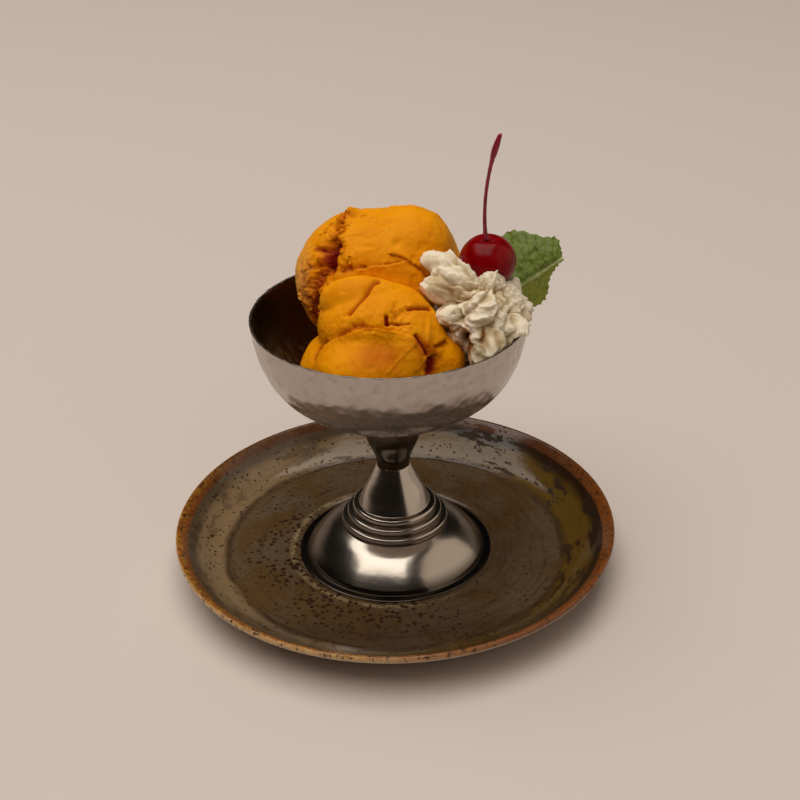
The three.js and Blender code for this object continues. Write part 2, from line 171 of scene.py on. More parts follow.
# Mango ice cream: churned frozen fruit cream, pressed and torn by the scoop. It scatters light just under a matt
# skin. Its creases, torn hollows and lower front are painted orange-brown and deep red-orange as painted shade, and
# the left cap of the back scoop has a painted pale sheen.
@dataclass(frozen=True)
class MangoIceCream:
    """Matt, dense and slightly translucent orange ice."""

    body: str = "#E08A00"
    light: str = "#E69304"
    shade: str = "#B85A00"
    hollow_shade: str = "#74140A"
    painted_sheen: str = "#CFA06A"

    def build(self) -> Material:
        """Return the material."""
        material, tree = new_material("churned mango ice cream")
        place = add_node(tree, "ShaderNodeTexCoord", None, "Object")
        broad = {"Vector": place, "Scale": 1 / (9 * MM)}
        fine = {"Vector": place, "Scale": 1 / (1.1 * MM), "Detail": 4, "Roughness": 0.6}
        grit = {"Vector": place, "Scale": 1 / (0.4 * MM), "Detail": 3, "Roughness": 0.6}
        broad, fine, grit = (add_node(tree, "ShaderNodeTexNoise", feeds, 0) for feeds in (broad, fine, grit))
        # Painted shade: this attribute darkens creases, hollows, seams and the lower front towards the shade and
        # hollow colours
        painted_shade = add_node(tree, "ShaderNodeAttribute", None, "Fac", attribute_name="painted_shade")
        colour = coats(
            tree,
            self.body,
            (self.light, 1, (broad, 0.35, 0.65)),
            (self.shade, 1, (painted_shade, 0.05, 0.5)),
            (self.hollow_shade, 1, (painted_shade, 0.38, 0.82)),
            # Painted sheen: a pale coat over the far left cap of the back scoop
            (self.painted_sheen, add_node(tree, "ShaderNodeAttribute", None, "Fac", attribute_name="painted_sheen")),
        )
        dents = {"Height": fine, "Distance": 0.22 * MM, "Strength": 0.8}
        grains = {"Height": grit, "Distance": 0.08 * MM, "Strength": 0.8}
        grains["Normal"] = add_node(tree, "ShaderNodeBump", dents, 0)
        return close_material(
            material,
            {
                "Base Color": colour,
                "Roughness": add_node(tree, "ShaderNodeMapRange", {"Value": fine, "To Min": 0.42, "To Max": 0.66}, 0),
                "IOR": 1.35,
                "Specular IOR Level": 0.12,
                "Subsurface Weight": 0.25,
                "Subsurface Radius": (1.0, 0.42, 0.1),
                "Subsurface Scale": 1.6 * MM,
                "Normal": add_node(tree, "ShaderNodeBump", grains, 0),
            },
        )


# Whipped cream: milk fat foam, piped through a nozzle. It is nearly white, matt, and glows softly where it is thin.
@dataclass(frozen=True)
class WhippedCream:
    """Soft white foam, with yellow-brown painted shade in its hollows and valleys."""

    body: str = "#E6D8C0"
    hollow_shade: str = "#BFA882"
    deep: str = "#7E4A20"

    def build(self) -> Material:
        """Return the material."""
        material, tree = new_material("piped whipped cream")
        place = add_node(tree, "ShaderNodeTexCoord", None, "Object")
        bubbles = {"Vector": place, "Scale": 1 / (0.9 * MM), "Detail": 4, "Roughness": 0.6}
        bubbles = add_node(tree, "ShaderNodeTexNoise", bubbles, 0)
        # Painted shade: this attribute darkens the cream's valleys, seams and hollows towards the hollow and deep
        # colours
        painted_shade = add_node(tree, "ShaderNodeAttribute", None, "Fac", attribute_name="painted_shade")
        dents = {"Height": bubbles, "Distance": 0.14 * MM, "Strength": 0.7}
        return close_material(
            material,
            {
                "Base Color": coats(
                    tree, self.body, (self.hollow_shade, 1, (painted_shade, 0.05, 0.6)), (self.deep, 1, (painted_shade, 0.6, 1.0))
                ),
                "Roughness": 0.5,
                "IOR": 1.38,
                "Specular IOR Level": 0.25,
                "Subsurface Weight": 0.25,
                "Subsurface Radius": (1.0, 0.7, 0.45),
                "Subsurface Scale": 1.2 * MM,
                "Normal": add_node(tree, "ShaderNodeBump", dents, 0),
            },
        )


# Cocktail cherry: a stoned cherry dyed and steeped in syrup. Its skin is dark, wet and clear, so it mirrors the lamp.
@dataclass(frozen=True)
class CherrySkin:
    """Dark red wet skin."""

    skin: str = "#7E0006"
    deep: str = "#6C0005"

    def build(self) -> Material:
        """Return the material."""
        material, tree = new_material("syrup cherry skin")
        place = add_node(tree, "ShaderNodeTexCoord", None, "Object")
        mottle, dimples = (
            add_node(tree, "ShaderNodeTexNoise", {"Vector": place, "Scale": 1 / (size * MM), "Detail": 3}, 0)
            for size in (3.5, 2.2)
        )
        dents = {"Height": dimples, "Distance": 0.1 * MM, "Strength": 0.5}
        return close_material(
            material,
            {
                "Base Color": coats(tree, self.skin, (self.deep, 1, (mottle, 0.35, 0.7))),
                "Roughness": 0.24,
                "IOR": 1.4,
                "Specular IOR Level": 0.18,
                "Subsurface Weight": 0.15,
                "Subsurface Radius": (1.0, 0.1, 0.08),
                "Subsurface Scale": 2 * MM,
                "Normal": add_node(tree, "ShaderNodeBump", dents, 0),
            },
        )


# Cherry stalk: a dyed woody stalk, smooth with faint ridges along it.
@dataclass(frozen=True)
class CherryStalk:
    """Dark red-brown stalk with a lighter knob."""

    stalk: str = "#A01832"
    dark: str = "#5E0C1C"

    def build(self) -> Material:
        """Return the material."""
        material, tree = new_material("dyed cherry stalk")
        place = add_node(tree, "ShaderNodeTexCoord", None, "Object")
        drawn = add_node(tree, "ShaderNodeMapping", {"Vector": place, "Scale": (1, 1, 0.12)}, 0)
        fibre = add_node(tree, "ShaderNodeTexNoise", {"Vector": drawn, "Scale": 1 / (0.5 * MM), "Detail": 3}, 0)
        ridges = {"Height": fibre, "Distance": 0.08 * MM, "Strength": 0.6}
        return close_material(
            material,
            {
                "Base Color": coats(tree, self.stalk, (self.dark, 1, (fibre, 0.35, 0.65))),
                "Roughness": 0.36,
                "IOR": 1.45,
                "Normal": add_node(tree, "ShaderNodeBump", ridges, 0),
            },
        )


# Mint: a fresh quilted leaf, waxy above, with paler veins sunk between raised cushions.
@dataclass(frozen=True)
class MintLeaf:
    """Waxy green leaf with paler veins, and a lower half painted yellower and brighter as painted backlight."""

    blade: str = "#5A6A26"
    backlit_glow: str = "#8E9A1C"
    vein: str = "#A8AE72"
    shade: str = "#2C3B14"

    def build(self) -> Material:
        """Return the material."""
        material, tree = new_material("fresh mint leaf")
        place = add_node(tree, "ShaderNodeTexCoord", None, "Object")
        mottle = {"Vector": place, "Scale": 1 / (1.6 * MM), "Detail": 4, "Roughness": 0.6}
        mottle = add_node(tree, "ShaderNodeTexNoise", mottle, 0)
        cushions = {"Height": mottle, "Distance": 0.22 * MM, "Strength": 0.8}
        colour = coats(
            tree,
            self.blade,
            # Painted light: the lower half is painted brighter yellow-green for light shining through it
            (self.backlit_glow, add_node(tree, "ShaderNodeAttribute", None, "Fac", attribute_name="backlit_glow")),
            (self.shade, 0.6, (mottle, 0.5, 0.3)),
            (self.vein, add_node(tree, "ShaderNodeAttribute", None, "Fac", attribute_name="vein")),
        )
        return close_material(
            material,
            {
                "Base Color": colour,
                "Roughness": 0.46,
                "IOR": 1.42,
                "Specular IOR Level": 0.35,
                "Subsurface Weight": 0.1,
                "Subsurface Radius": (0.5, 1.0, 0.1),
                "Subsurface Scale": 0.6 * MM,
                "Normal": add_node(tree, "ShaderNodeBump", cushions, 0),
            },
        )


# Hammered stainless steel: spun bowl planished by hand and left satin. It blurs what it mirrors, and each mark
# catches the light a little differently. The inside is painted darker as painted shade; the neck and the front of the
# lip are painted darker as a painted dark reflection and painted shade.
@dataclass(frozen=True)
class HammeredSteel:
    """Satin steel, with painted shade inside."""

    steel: str = "#B9AFA6"
    worn: str = "#ADA297"
    inside: str = "#9C8464"
    neck: str = "#655C53"

    def build(self) -> Material:
        """Return the material."""
        material, tree = new_material("hammered satin steel")
        place = add_node(tree, "ShaderNodeTexCoord", None, "Object")
        patch = {"Vector": place, "Scale": 1 / (3.4 * MM), "Detail": 3, "Roughness": 0.6}
        patch = add_node(tree, "ShaderNodeTexNoise", patch, 0)
        grain = add_node(tree, "ShaderNodeTexNoise", {"Vector": place, "Scale": 1 / (0.45 * MM), "Detail": 3}, 0)
        _, y, z = add_node(tree, "ShaderNodeSeparateXYZ", {"Vector": place}).outputs
        colour = coats(
            tree,
            self.steel,
            (self.worn, 1, (patch, 0.4, 0.7)),
            # Painted shade on the inside of the bowl
            (self.inside, add_node(tree, "ShaderNodeAttribute", None, "Fac", attribute_name="inside")),
            # Painted dark reflection on the neck and the bowl's lowest part, and painted shade on the front of the
            # lip that dims its highlight
            (self.neck, 1, (z, 62 * MM, 52 * MM)),
            (self.neck, 1, (y, -10 * MM, -25 * MM), (z, 99.0 * MM, 99.5 * MM)),
        )
        matt = add_node(tree, "ShaderNodeMapRange", {"Value": patch, "To Min": 0.13, "To Max": 0.2}, 0)
        worked = overlap(tree, 0.1, (z, 52 * MM, 62 * MM))
        scratches = {"Height": grain, "Distance": 0.012 * MM, "Strength": 0.5}
        return close_material(
            material,
            {
                "Base Color": colour,
                "Metallic": 1.0,
                "Roughness": add_node(tree, "ShaderNodeMath", {0: worked, 1: matt}, 0, operation="ADD"),
                "Normal": add_node(tree, "ShaderNodeBump", scratches, 0),
            },
        )


# Spun stainless steel: turned on a lathe and buffed. It mirrors softly, with hair lines that run round it.
@dataclass(frozen=True)
class SpunSteel:
    """Buffed steel with fine lines round the axis, and a painted dark reflection on the flange and the dome's foot.
    """

    steel: str = "#ACA297"
    painted_dark_reflection: str = "#564E46"

    def build(self) -> Material:
        """Return the material."""
        material, tree = new_material("spun and buffed steel")
        place = add_node(tree, "ShaderNodeTexCoord", None, "Object")
        x, y, z = add_node(tree, "ShaderNodeSeparateXYZ", {"Vector": place}).outputs
        flat = add_node(tree, "ShaderNodeCombineXYZ", {"X": x, "Y": y}, 0)
        reach = add_node(tree, "ShaderNodeVectorMath", {0: flat}, "Value", operation="LENGTH")
        across = add_node(tree, "ShaderNodeMath", {0: x, 1: y}, 0, operation="ARCTAN2")
        slow = add_node(tree, "ShaderNodeMath", {0: across, 1: 0.6 * MM}, 0, operation="MULTIPLY")
        wound = add_node(tree, "ShaderNodeCombineXYZ", {"X": reach, "Y": slow, "Z": z}, 0)
        # Buffing lines are about 0.05 mm apart; drawn at 0.35 mm so that they show
        lines = add_node(tree, "ShaderNodeTexNoise", {"Vector": wound, "Scale": 1 / (0.35 * MM)}, 0)
        waves = add_node(tree, "ShaderNodeTexNoise", {"Vector": place, "Scale": 1 / (8 * MM)}, 0)
        waves = {"Height": waves, "Distance": 0.12 * MM, "Strength": 1.0}
        hairs = {"Height": lines, "Distance": 0.006 * MM, "Strength": 0.4}
        hairs["Normal"] = add_node(tree, "ShaderNodeBump", waves, 0)
        blur = {"Value": lines, "To Min": 0.15, "To Max": 0.25}
        return close_material(
            material,
            {
                # Painted dark reflection: the flange and the foot of the dome are painted darker
                "Base Color": coats(tree, self.steel, (self.painted_dark_reflection, 1, (z, 10 * MM, 6 * MM))),
                "Metallic": 1.0,
                "Roughness": add_node(tree, "ShaderNodeMapRange", blur, 0),
                "Normal": add_node(tree, "ShaderNodeBump", hairs, 0),
            },
        )


# Reactive glaze on stoneware: iron-rich glaze that broke and ran in the kiln. Glossy brown-olive, with burnt specks,
# a rusty rim where it ran thin, a painted shade line where the floor meets the wall, and a pale painted highlight
# ringing the coupe's foot, mostly on its left.
@dataclass(frozen=True)
class ReactiveGlaze:
    """Glossy speckled brown glaze with matt, broken patches on the wall."""

    floor: str = "#563F25"
    grey: str = "#5B4A37"
    wall: str = "#7E664A"
    olive: str = "#5E4518"
    smoke: str = "#51412F"
    dark: str = "#2C1C10"
    speck: str = "#321A0C"
    rim: str = "#9A6620"
    pale_rim: str = "#BE9866"
    rust: str = "#7A441C"
    burnt: str = "#442817"
    foot_ring_highlight: str = "#9C8762"
    bare: str = "#B9A48A"

    def build(self) -> Material:
        """Return the material."""
        material, tree = new_material("reactive glaze")
        place = add_node(tree, "ShaderNodeTexCoord", None, "Object")
        x, y, z = add_node(tree, "ShaderNodeSeparateXYZ", {"Vector": place}).outputs
        flat = add_node(tree, "ShaderNodeCombineXYZ", {"X": x, "Y": y}, 0)
        reach = add_node(tree, "ShaderNodeVectorMath", {0: flat}, "Value", operation="LENGTH")
        away = add_node(tree, "ShaderNodeVectorMath", {0: flat}, 0, operation="NORMALIZE")
        # Each pattern: its coordinates, the size of a feature in mm, its octaves and their strength
        streaks, rings, run, cloud, fine, scraps, wobble, spread = (
            add_node(
                tree, "ShaderNodeTexNoise", {"Vector": at, "Scale": 1 / (mm * MM), "Detail": n, "Roughness": rough}, 0
            )
            for at, mm, n, rough in (
                (self.wound(tree, away, reach, 20), 4.2, 5, 0.62),
                (self.wound(tree, away, reach, 3), 1.2, 2, 0.5),
                (self.wound(tree, away, reach, 60), 1.9, 4, 0.65),
                (place, 17, 4, 0.6),
                (place, 1.5, 3, 0.6),
                (place, 0.9, 3, 0.5),
                (place, 0.8, 3, 0.5),
                (place, 9, 3, 0.5),
            )
        )
        cell = add_node(tree, "ShaderNodeTexVoronoi", {"Vector": place, "Scale": 1 / (2.3 * MM)}, "Distance")
        left = overlap(tree, 1, (x, 35 * MM, -45 * MM))
        # Sums of a pattern, scaled, and another value
        drift, frayed, torn, lean, bent = (
            add_node(tree, "ShaderNodeMath", {0: first, 1: scale, 2: second}, 0, operation="MULTIPLY_ADD")
            for first, scale, second in (
                (streaks, 5 * MM, reach), (fine, 1.6 * MM, reach), (scraps, 0.16, streaks), (y, 0.7, x),
                (wobble, 0.5, cell),
            )
        )
        wall = overlap(tree, 1, (drift, 63.6 * MM, 65.4 * MM))
        # Broken patches on the wall, denser at the back right
        patchy = {"Value": lean, "From Min": 0.0, "From Max": 50 * MM, "To Min": 0.4, "To Max": 0.9}
        patchy = add_node(tree, "ShaderNodeMapRange", patchy, 0, **SMOOTH)
        patchy = add_node(tree, "ShaderNodeMath", {0: patchy, 1: wall}, 0, operation="MULTIPLY")
        broken = overlap(tree, patchy, (torn, 0.63, 0.69))
        # Burnt specks: a dense drift left of the coupe's foot and in front of it, and a few elsewhere
        dense = overlap(tree, 0.2, (lean, 0.0, -30 * MM), (reach, 60 * MM, 44 * MM))
        limit = add_node(tree, "ShaderNodeMath", {0: spread, 1: 0.5, 2: dense}, 0, operation="MULTIPLY_ADD")
        gap = add_node(tree, "ShaderNodeMath", {0: limit, 1: bent}, 0, operation="SUBTRACT")
        specks = overlap(tree, 1, (gap, -0.22, -0.13))
        wall_shade_gap, ring_highlight_gap = (self.off_ring(tree, *ring) for ring in ((drift, 64.2), (frayed, 38.6)))
        rim = coats(
            tree,
            self.rim,
            (self.rust, 1, (run, 0.44, 0.58)),
            (self.rust, 1, (frayed, 78.0 * MM, 77.0 * MM)),
            (self.pale_rim, 1, (frayed, 79.7 * MM, 80.1 * MM)),
            (self.rust, 1, (x, -30 * MM, 50 * MM)),
            (self.burnt, 1, (fine, 0.5, 0.66)),
            (self.burnt, 0.8, (y, 0.0, 60 * MM)),
        )
        facing = add_node(tree, "ShaderNodeNewGeometry", None, "Normal")
        down = add_node(tree, "ShaderNodeSeparateXYZ", {"Vector": facing}, 2)
        colour = coats(
            tree,
            self.floor,
            (self.grey, 1, (cloud, 0.4, 0.62)),
            (self.dark, 0.4, (rings, 0.5, 0.75)),
            (self.speck, 0.35, (fine, 0.52, 0.7)),
            (coats(tree, self.olive, (self.wall, left)), wall),
            (coats(tree, self.dark, (self.smoke, left)), 1, (drift, 72.6 * MM, 76.2 * MM)),
            (self.dark, broken),
            # Painted shade: a dark line where the floor meets the wall
            (self.dark, 0.55, (wall_shade_gap, 2.2 * MM, 0.44 * MM), (cloud, 0.35, 0.6)),
            (self.dark, 0.5, (y, -34 * MM, -54 * MM), (cloud, 0.3, 0.5)),
            # Painted highlight: a pale ring round the coupe's foot, fading to the right
            (self.foot_ring_highlight, 0.7, (ring_highlight_gap, 1.5 * MM, 0.3 * MM), (x, 40 * MM, -20 * MM), (fine, 0.35, 0.6)),
            (self.speck, specks),
            (rim, 1, (frayed, 75.7 * MM, 76.5 * MM)),
            (self.bare, 1, (z, 14.2 * MM, 13.8 * MM), (reach, 78.6 * MM, 79.1 * MM)),
            (self.bare, 1, (down, -0.15, -0.35)),
        )
        matt = add_node(tree, "ShaderNodeMath", {0: broken, 1: specks}, 0, operation="MAXIMUM")
        runs = {"Height": streaks, "Distance": 0.25 * MM, "Strength": 0.5}
        turned = {"Height": rings, "Distance": 0.04 * MM, "Strength": 0.5}
        turned["Normal"] = add_node(tree, "ShaderNodeBump", runs, 0)
        gloss = {"Value": matt, "To Min": 0.34, "To Max": 0.1}
        return close_material(
            material,
            {
                "Base Color": colour,
                "Roughness": add_node(tree, "ShaderNodeMapRange", {"Value": matt, "To Min": 0.13, "To Max": 0.5}, 0),
                "IOR": 1.5,
                "Specular IOR Level": add_node(tree, "ShaderNodeMapRange", gloss, 0),
                "Normal": add_node(tree, "ShaderNodeBump", turned, 0),
            },
        )

    def wound(self, tree: Tree, away: Socket, reach: Socket, girth: float) -> Socket:
        """Wind pattern coordinates round the axis, so that patterns are drawn out along the rim.

        Args:
            tree: The material's tree.
            away: Unit direction from the axis.
            reach: Distance from the axis.
            girth: Radius in mm of the circle that the pattern sees for each turn.

        Returns:
            The coordinates' socket.
        """
        ring = add_node(tree, "ShaderNodeVectorMath", {0: away, "Scale": girth * MM}, 0, operation="SCALE")
        x, y, _ = add_node(tree, "ShaderNodeSeparateXYZ", {"Vector": ring}).outputs
        return add_node(tree, "ShaderNodeCombineXYZ", {"X": x, "Y": y, "Z": reach}, 0)

    def off_ring(self, tree: Tree, reach: Socket, middle: float) -> Socket:
        """Measure the distance to a ring.

        Args:
            tree: The material's tree.
            reach: Distance from the axis, in metres.
            middle: The ring's radius in mm.

        Returns:
            The distance's socket.
        """
        away = add_node(tree, "ShaderNodeMath", {0: reach, 1: middle * MM}, 0, operation="SUBTRACT")
        return add_node(tree, "ShaderNodeMath", {0: away}, 0, operation="ABSOLUTE")


# Seamless paper: matt and pale, it only shows the shadow and the light.
@dataclass(frozen=True)
class PalePaper:
    """Matt warm paper."""

    paper: str = "#CBBEB6"

    def build(self) -> Material:
        """Return the material."""
        return close_material(new_material("pale paper")[0], {"Base Color": self.paper, "Roughness": 0.9})


class Relief(Enum):
    """How a mark changes the surface across its line."""

    GROOVE = "groove"
    LIP = "lip"


class Glow(Enum):
    """What a lamp acts on."""

    ALL = "all"
    MATT = "matt"
    SHINY = "shiny"


@dataclass(frozen=True)
class Lobe:
    """An ellipsoid that adds to a body."""

    centre: Direction
    radii: Direction


@dataclass(frozen=True)
class Mark:
    """A crevice, pit or fold along a chain of directions from a body's centre.

    Sizes are in mm. A lip stands up on the left of its chain and drops on the right.
    """

    chain: tuple[Direction, ...]
    width: float
    depth: float
    crumble: float = 0.0
    # Painted shade laid in the groove or below the lip; a mark of depth 0 is painted shade alone
    painted_shade: float = 0.0
    relief: Relief = Relief.GROOVE


def lattice(cell: np.ndarray, seed: int) -> np.ndarray:
    """Give each whole-number cell a fixed value between -1 and 1.

    Args:
        cell: Whole numbers, three a row.
        seed: Chooses the pattern.

    Returns:
        One value a row.
    """
    c = cell.astype(np.int64).astype(np.uint32)
    h = c[:, 0] * np.uint32(374761393) + c[:, 1] * np.uint32(668265263) + c[:, 2] * np.uint32(2246822519)
    h = h + np.uint32(seed * 2654435761 % 4294967296)
    h = (h ^ (h >> np.uint32(13))) * np.uint32(1274126177)
    h = h ^ (h >> np.uint32(16))
    return h.astype(np.float64) / 2147483647.5 - 1


def noise(points: np.ndarray, size: float, seed: int = SEED) -> np.ndarray:
    """Smooth noise between -1 and 1.

    Args:
        points: Places in mm, three a row.
        size: The size of one feature in mm.
        seed: Chooses the pattern.

    Returns:
        One value a row.
    """
    p = points / size
    base = np.floor(p)
    f = p - base
    f = f * f * f * (f * (f * 6 - 15) + 10)
    total = np.zeros(len(p))
    for corner in np.ndindex(2, 2, 2):
        share = np.ones(len(p))
        for n in range(3):
            share *= f[:, n] if corner[n] else 1 - f[:, n]
        total += share * lattice(base + np.array(corner), seed)
    return total


def layered(points: np.ndarray, size: float, octaves: int, seed: int = SEED) -> np.ndarray:
    """Add octaves of noise, each half the size and height of the last.

    Args:
        points: Places in mm.
        size: The size of the broadest features.
        octaves: How many layers.
        seed: Chooses the pattern.

    Returns:
        One value a row.
    """
    return sum(noise(points, size / 2**n, seed + n) / 2**n for n in range(octaves))


def ridged(points: np.ndarray, size: float, octaves: int, seed: int = SEED) -> np.ndarray:
    """Noise with sharp crests, between about 0 and 1.

    Args:
        points: Places in mm.
        size: The size of the broadest features.
        octaves: How many layers.
        seed: Chooses the pattern.

    Returns:
        One value a row.
    """
    total = np.zeros(len(points))
    weight = 0.0
    for n in range(octaves):
        total += (1 - np.abs(noise(points, size / 1.9**n, seed + n))) ** 2 / 2**n
        weight += 1 / 2**n
    return total / weight


def lumps(points: np.ndarray, size: float, seed: int = SEED) -> np.ndarray:
    """Rounded lumps side by side, from about -1 between them to 1 on top.

    Args:
        points: Places in mm.
        size: The spacing of the lumps.
        seed: Chooses the pattern.

    Returns:
        One value a row.
    """
    p = points / size
    base = np.floor(p)
    best = np.full(len(p), 9.0)
    for corner in np.ndindex(3, 3, 3):
        cell = base + np.array(corner) - 1
        shift = np.stack([lattice(cell, seed + n) for n in range(3)], 1) * 0.42 + 0.5
        best = np.minimum(best, np.linalg.norm(cell + shift - p, axis=1))
    return 1 - 2.4 * best**1.4


def smooth_line(pairs: Profile, count: int) -> Profile:
    """Follow a smooth curve through points, evenly between each two.

    Args:
        pairs: The points.
        count: How many steps to take in all.

    Returns:
        count + 1 points.
    """
    p = np.array(pairs, float)
    last = len(p) - 1
    out = []
    for k in range(count + 1):
        t = k / count * last
        i = min(int(t), last - 1)
        w = t - i
        a, b, c, d = p[max(i - 1, 0)], p[i], p[i + 1], p[min(i + 2, last)]
        v0, v1 = (c - a) / 2, (d - b) / 2
        at = (2 * b - 2 * c + v0 + v1) * w**3 + (-3 * b + 3 * c - 2 * v0 - v1) * w**2 + v0 * w + b
        out.append((float(at[0]), float(at[1])))
    return out


def unit_ball(level: int) -> tuple[np.ndarray, np.ndarray]:
    """Make an even triangle ball of radius 1.

    Args:
        level: How often its faces are split.

    Returns:
        The points and the triangles.
    """
    bm = bmesh.new()
    bmesh.ops.create_icosphere(bm, subdivisions=level, radius=1)
    points = np.array([v.co for v in bm.verts])
    faces = np.array([[v.index for v in f.verts] for f in bm.faces])
    bm.free()
    return points / np.linalg.norm(points, axis=1, keepdims=True), faces


def mesh_object(
    name: str,
    points: np.ndarray,
    faces: list | np.ndarray,
    material: Material,
    numbers: dict[str, np.ndarray] | None = None,
) -> bpy.types.Object:
    """Make a smooth-shaded mesh object.

    Args:
        name: The object's name.
        points: Places in mm.
        faces: Corners of each face.
        material: Its material.
        numbers: Values to store for each point, by name.

    Returns:
        The object, linked to the scene.
    """
    mesh = bpy.data.meshes.new(name)
    mesh.from_pydata((np.asarray(points) * MM).tolist(), [], [list(map(int, f)) for f in faces])
    mesh.materials.append(material)
    for key, values in (numbers or {}).items():
        stored = mesh.attributes.new(key, "FLOAT", "POINT")
        stored.data.foreach_set("value", np.asarray(values, np.float32))
    mesh.polygons.foreach_set("use_smooth", [True] * len(mesh.polygons))
    mesh.update()
    made = bpy.data.objects.new(name, mesh)
    bpy.context.scene.collection.objects.link(made)
    return made


def add_modifier(target: bpy.types.Object, tree: Tree, values: dict[str, object]) -> bpy.types.Modifier:
    """Put a Geometry Nodes tree on an object and set its inputs by identifier.

    Args:
        target: The object.
        tree: The tree.
        values: Input values by the socket's name.

    Returns:
        The modifier.
    """
    modifier = target.modifiers.new(tree.name, "NODES")
    modifier.node_group = tree
    for item in tree.interface.items_tree:
        if item.item_type == "SOCKET" and item.in_out == "INPUT" and item.name in values:
            modifier[item.identifier] = values[item.name]
    return modifier


def settle_modifiers(target: bpy.types.Object) -> bpy.types.Object:
    """Turn an object with modifiers into a plain mesh.

    Args:
        target: The object.

    Returns:
        The same object.
    """
    graph = bpy.context.evaluated_depsgraph_get()
    settled = target.evaluated_get(graph)
    mesh = bpy.data.meshes.new_from_object(settled, preserve_all_data_layers=True, depsgraph=graph)
    target.modifiers.clear()
    old = target.data
    target.data = mesh
    bpy.data.meshes.remove(old)
    mesh.name = target.name
    mesh.polygons.foreach_set("use_smooth", [True] * len(mesh.polygons))
    mesh.update()
    return target


def open_tree(name: str, *inputs: tuple[str, str, object]) -> tuple[Tree, list[Socket]]:
    """Start a Geometry Nodes tree with a geometry in and out, named inputs, and a material as the last of them.

    Args:
        name: The tree's name.
        inputs: Each input's name, socket type and default.

    Returns:
        The tree, and what its input node gives, in that order.
    """
    tree = bpy.data.node_groups.new(name, "GeometryNodeTree")
    tree.interface.new_socket("Geometry", in_out="INPUT", socket_type="NodeSocketGeometry")
    for label, kind, value in inputs:
        tree.interface.new_socket(label, in_out="INPUT", socket_type=kind).default_value = value
    tree.interface.new_socket("Material", in_out="INPUT", socket_type="NodeSocketMaterial")
    tree.interface.new_socket("Geometry", in_out="OUTPUT", socket_type="NodeSocketGeometry")
    return tree, list(add_node(tree, "NodeGroupInput").outputs)[:-1]


def close_tree(tree: Tree, finish: Socket, shape: Socket) -> Tree:
    """End a tree in Realize Instances and Set Material.

    Args:
        tree: The tree.
        finish: Its material input.
        shape: The geometry to hand on.

    Returns:
        The tree.
    """
    real = add_node(tree, "GeometryNodeRealizeInstances", {"Geometry": shape}, 0)
    dressed = add_node(tree, "GeometryNodeSetMaterial", {"Geometry": real, "Material": finish}, 0)
    add_node(tree, "NodeGroupOutput", {"Geometry": dressed})
    return tree


def turning_tree() -> Tree:
    """Make a tree that turns a line of points about the Z axis.

    The line comes in as a mesh with its points in order, as radius in X and height in Z. A flat grid is wrapped
    round the axis, one row of it on each point of the line.

    Returns:
        The tree.
    """
    tree, (line, rows, facets, finish) = open_tree(
        "turned on the lathe", ("Rows", "NodeSocketInt", 10), ("Facets", "NodeSocketInt", 96)
    )
    wide = add_node(tree, "ShaderNodeMath", {0: facets, 1: 1}, 0, operation="ADD")
    sizes = {"Size X": 1.0, "Size Y": 1.0, "Vertices X": wide, "Vertices Y": rows}
    grid = add_node(tree, "GeometryNodeMeshGrid", sizes, "Mesh")
    place = add_node(tree, "GeometryNodeInputPosition", None, 0)
    across, along, _ = add_node(tree, "ShaderNodeSeparateXYZ", {"Vector": place}).outputs
    angle = add_node(tree, "ShaderNodeMath", {0: across, 1: math.tau}, 0, operation="MULTIPLY")
    last = add_node(tree, "ShaderNodeMath", {0: rows, 1: 1}, 0, operation="SUBTRACT")
    up = add_node(tree, "ShaderNodeMath", {0: along, 1: 0.5}, 0, operation="ADD")
    row = add_node(tree, "ShaderNodeMath", {0: up, 1: last}, 0, operation="MULTIPLY")
    whole = add_node(tree, "ShaderNodeMath", {0: row}, 0, operation="ROUND")
    read = {"Geometry": line, "Value": place, "Index": whole}
    at = add_node(tree, "GeometryNodeSampleIndex", read, 0, data_type="FLOAT_VECTOR", domain="POINT")
    radius, _, height = add_node(tree, "ShaderNodeSeparateXYZ", {"Vector": at}).outputs
    cosine = add_node(tree, "ShaderNodeMath", {0: angle}, 0, operation="COSINE")
    sine = add_node(tree, "ShaderNodeMath", {0: angle}, 0, operation="SINE")
    x = add_node(tree, "ShaderNodeMath", {0: radius, 1: cosine}, 0, operation="MULTIPLY")
    y = add_node(tree, "ShaderNodeMath", {0: radius, 1: sine}, 0, operation="MULTIPLY")
    wrapped = add_node(tree, "ShaderNodeCombineXYZ", {"X": x, "Y": y, "Z": height}, 0)
    moved = add_node(tree, "GeometryNodeSetPosition", {"Geometry": grid, "Position": wrapped}, 0)
    joined = add_node(tree, "GeometryNodeMergeByDistance", {"Geometry": moved, "Distance": 0.002 * MM}, 0)
    return close_tree(tree, finish, joined)


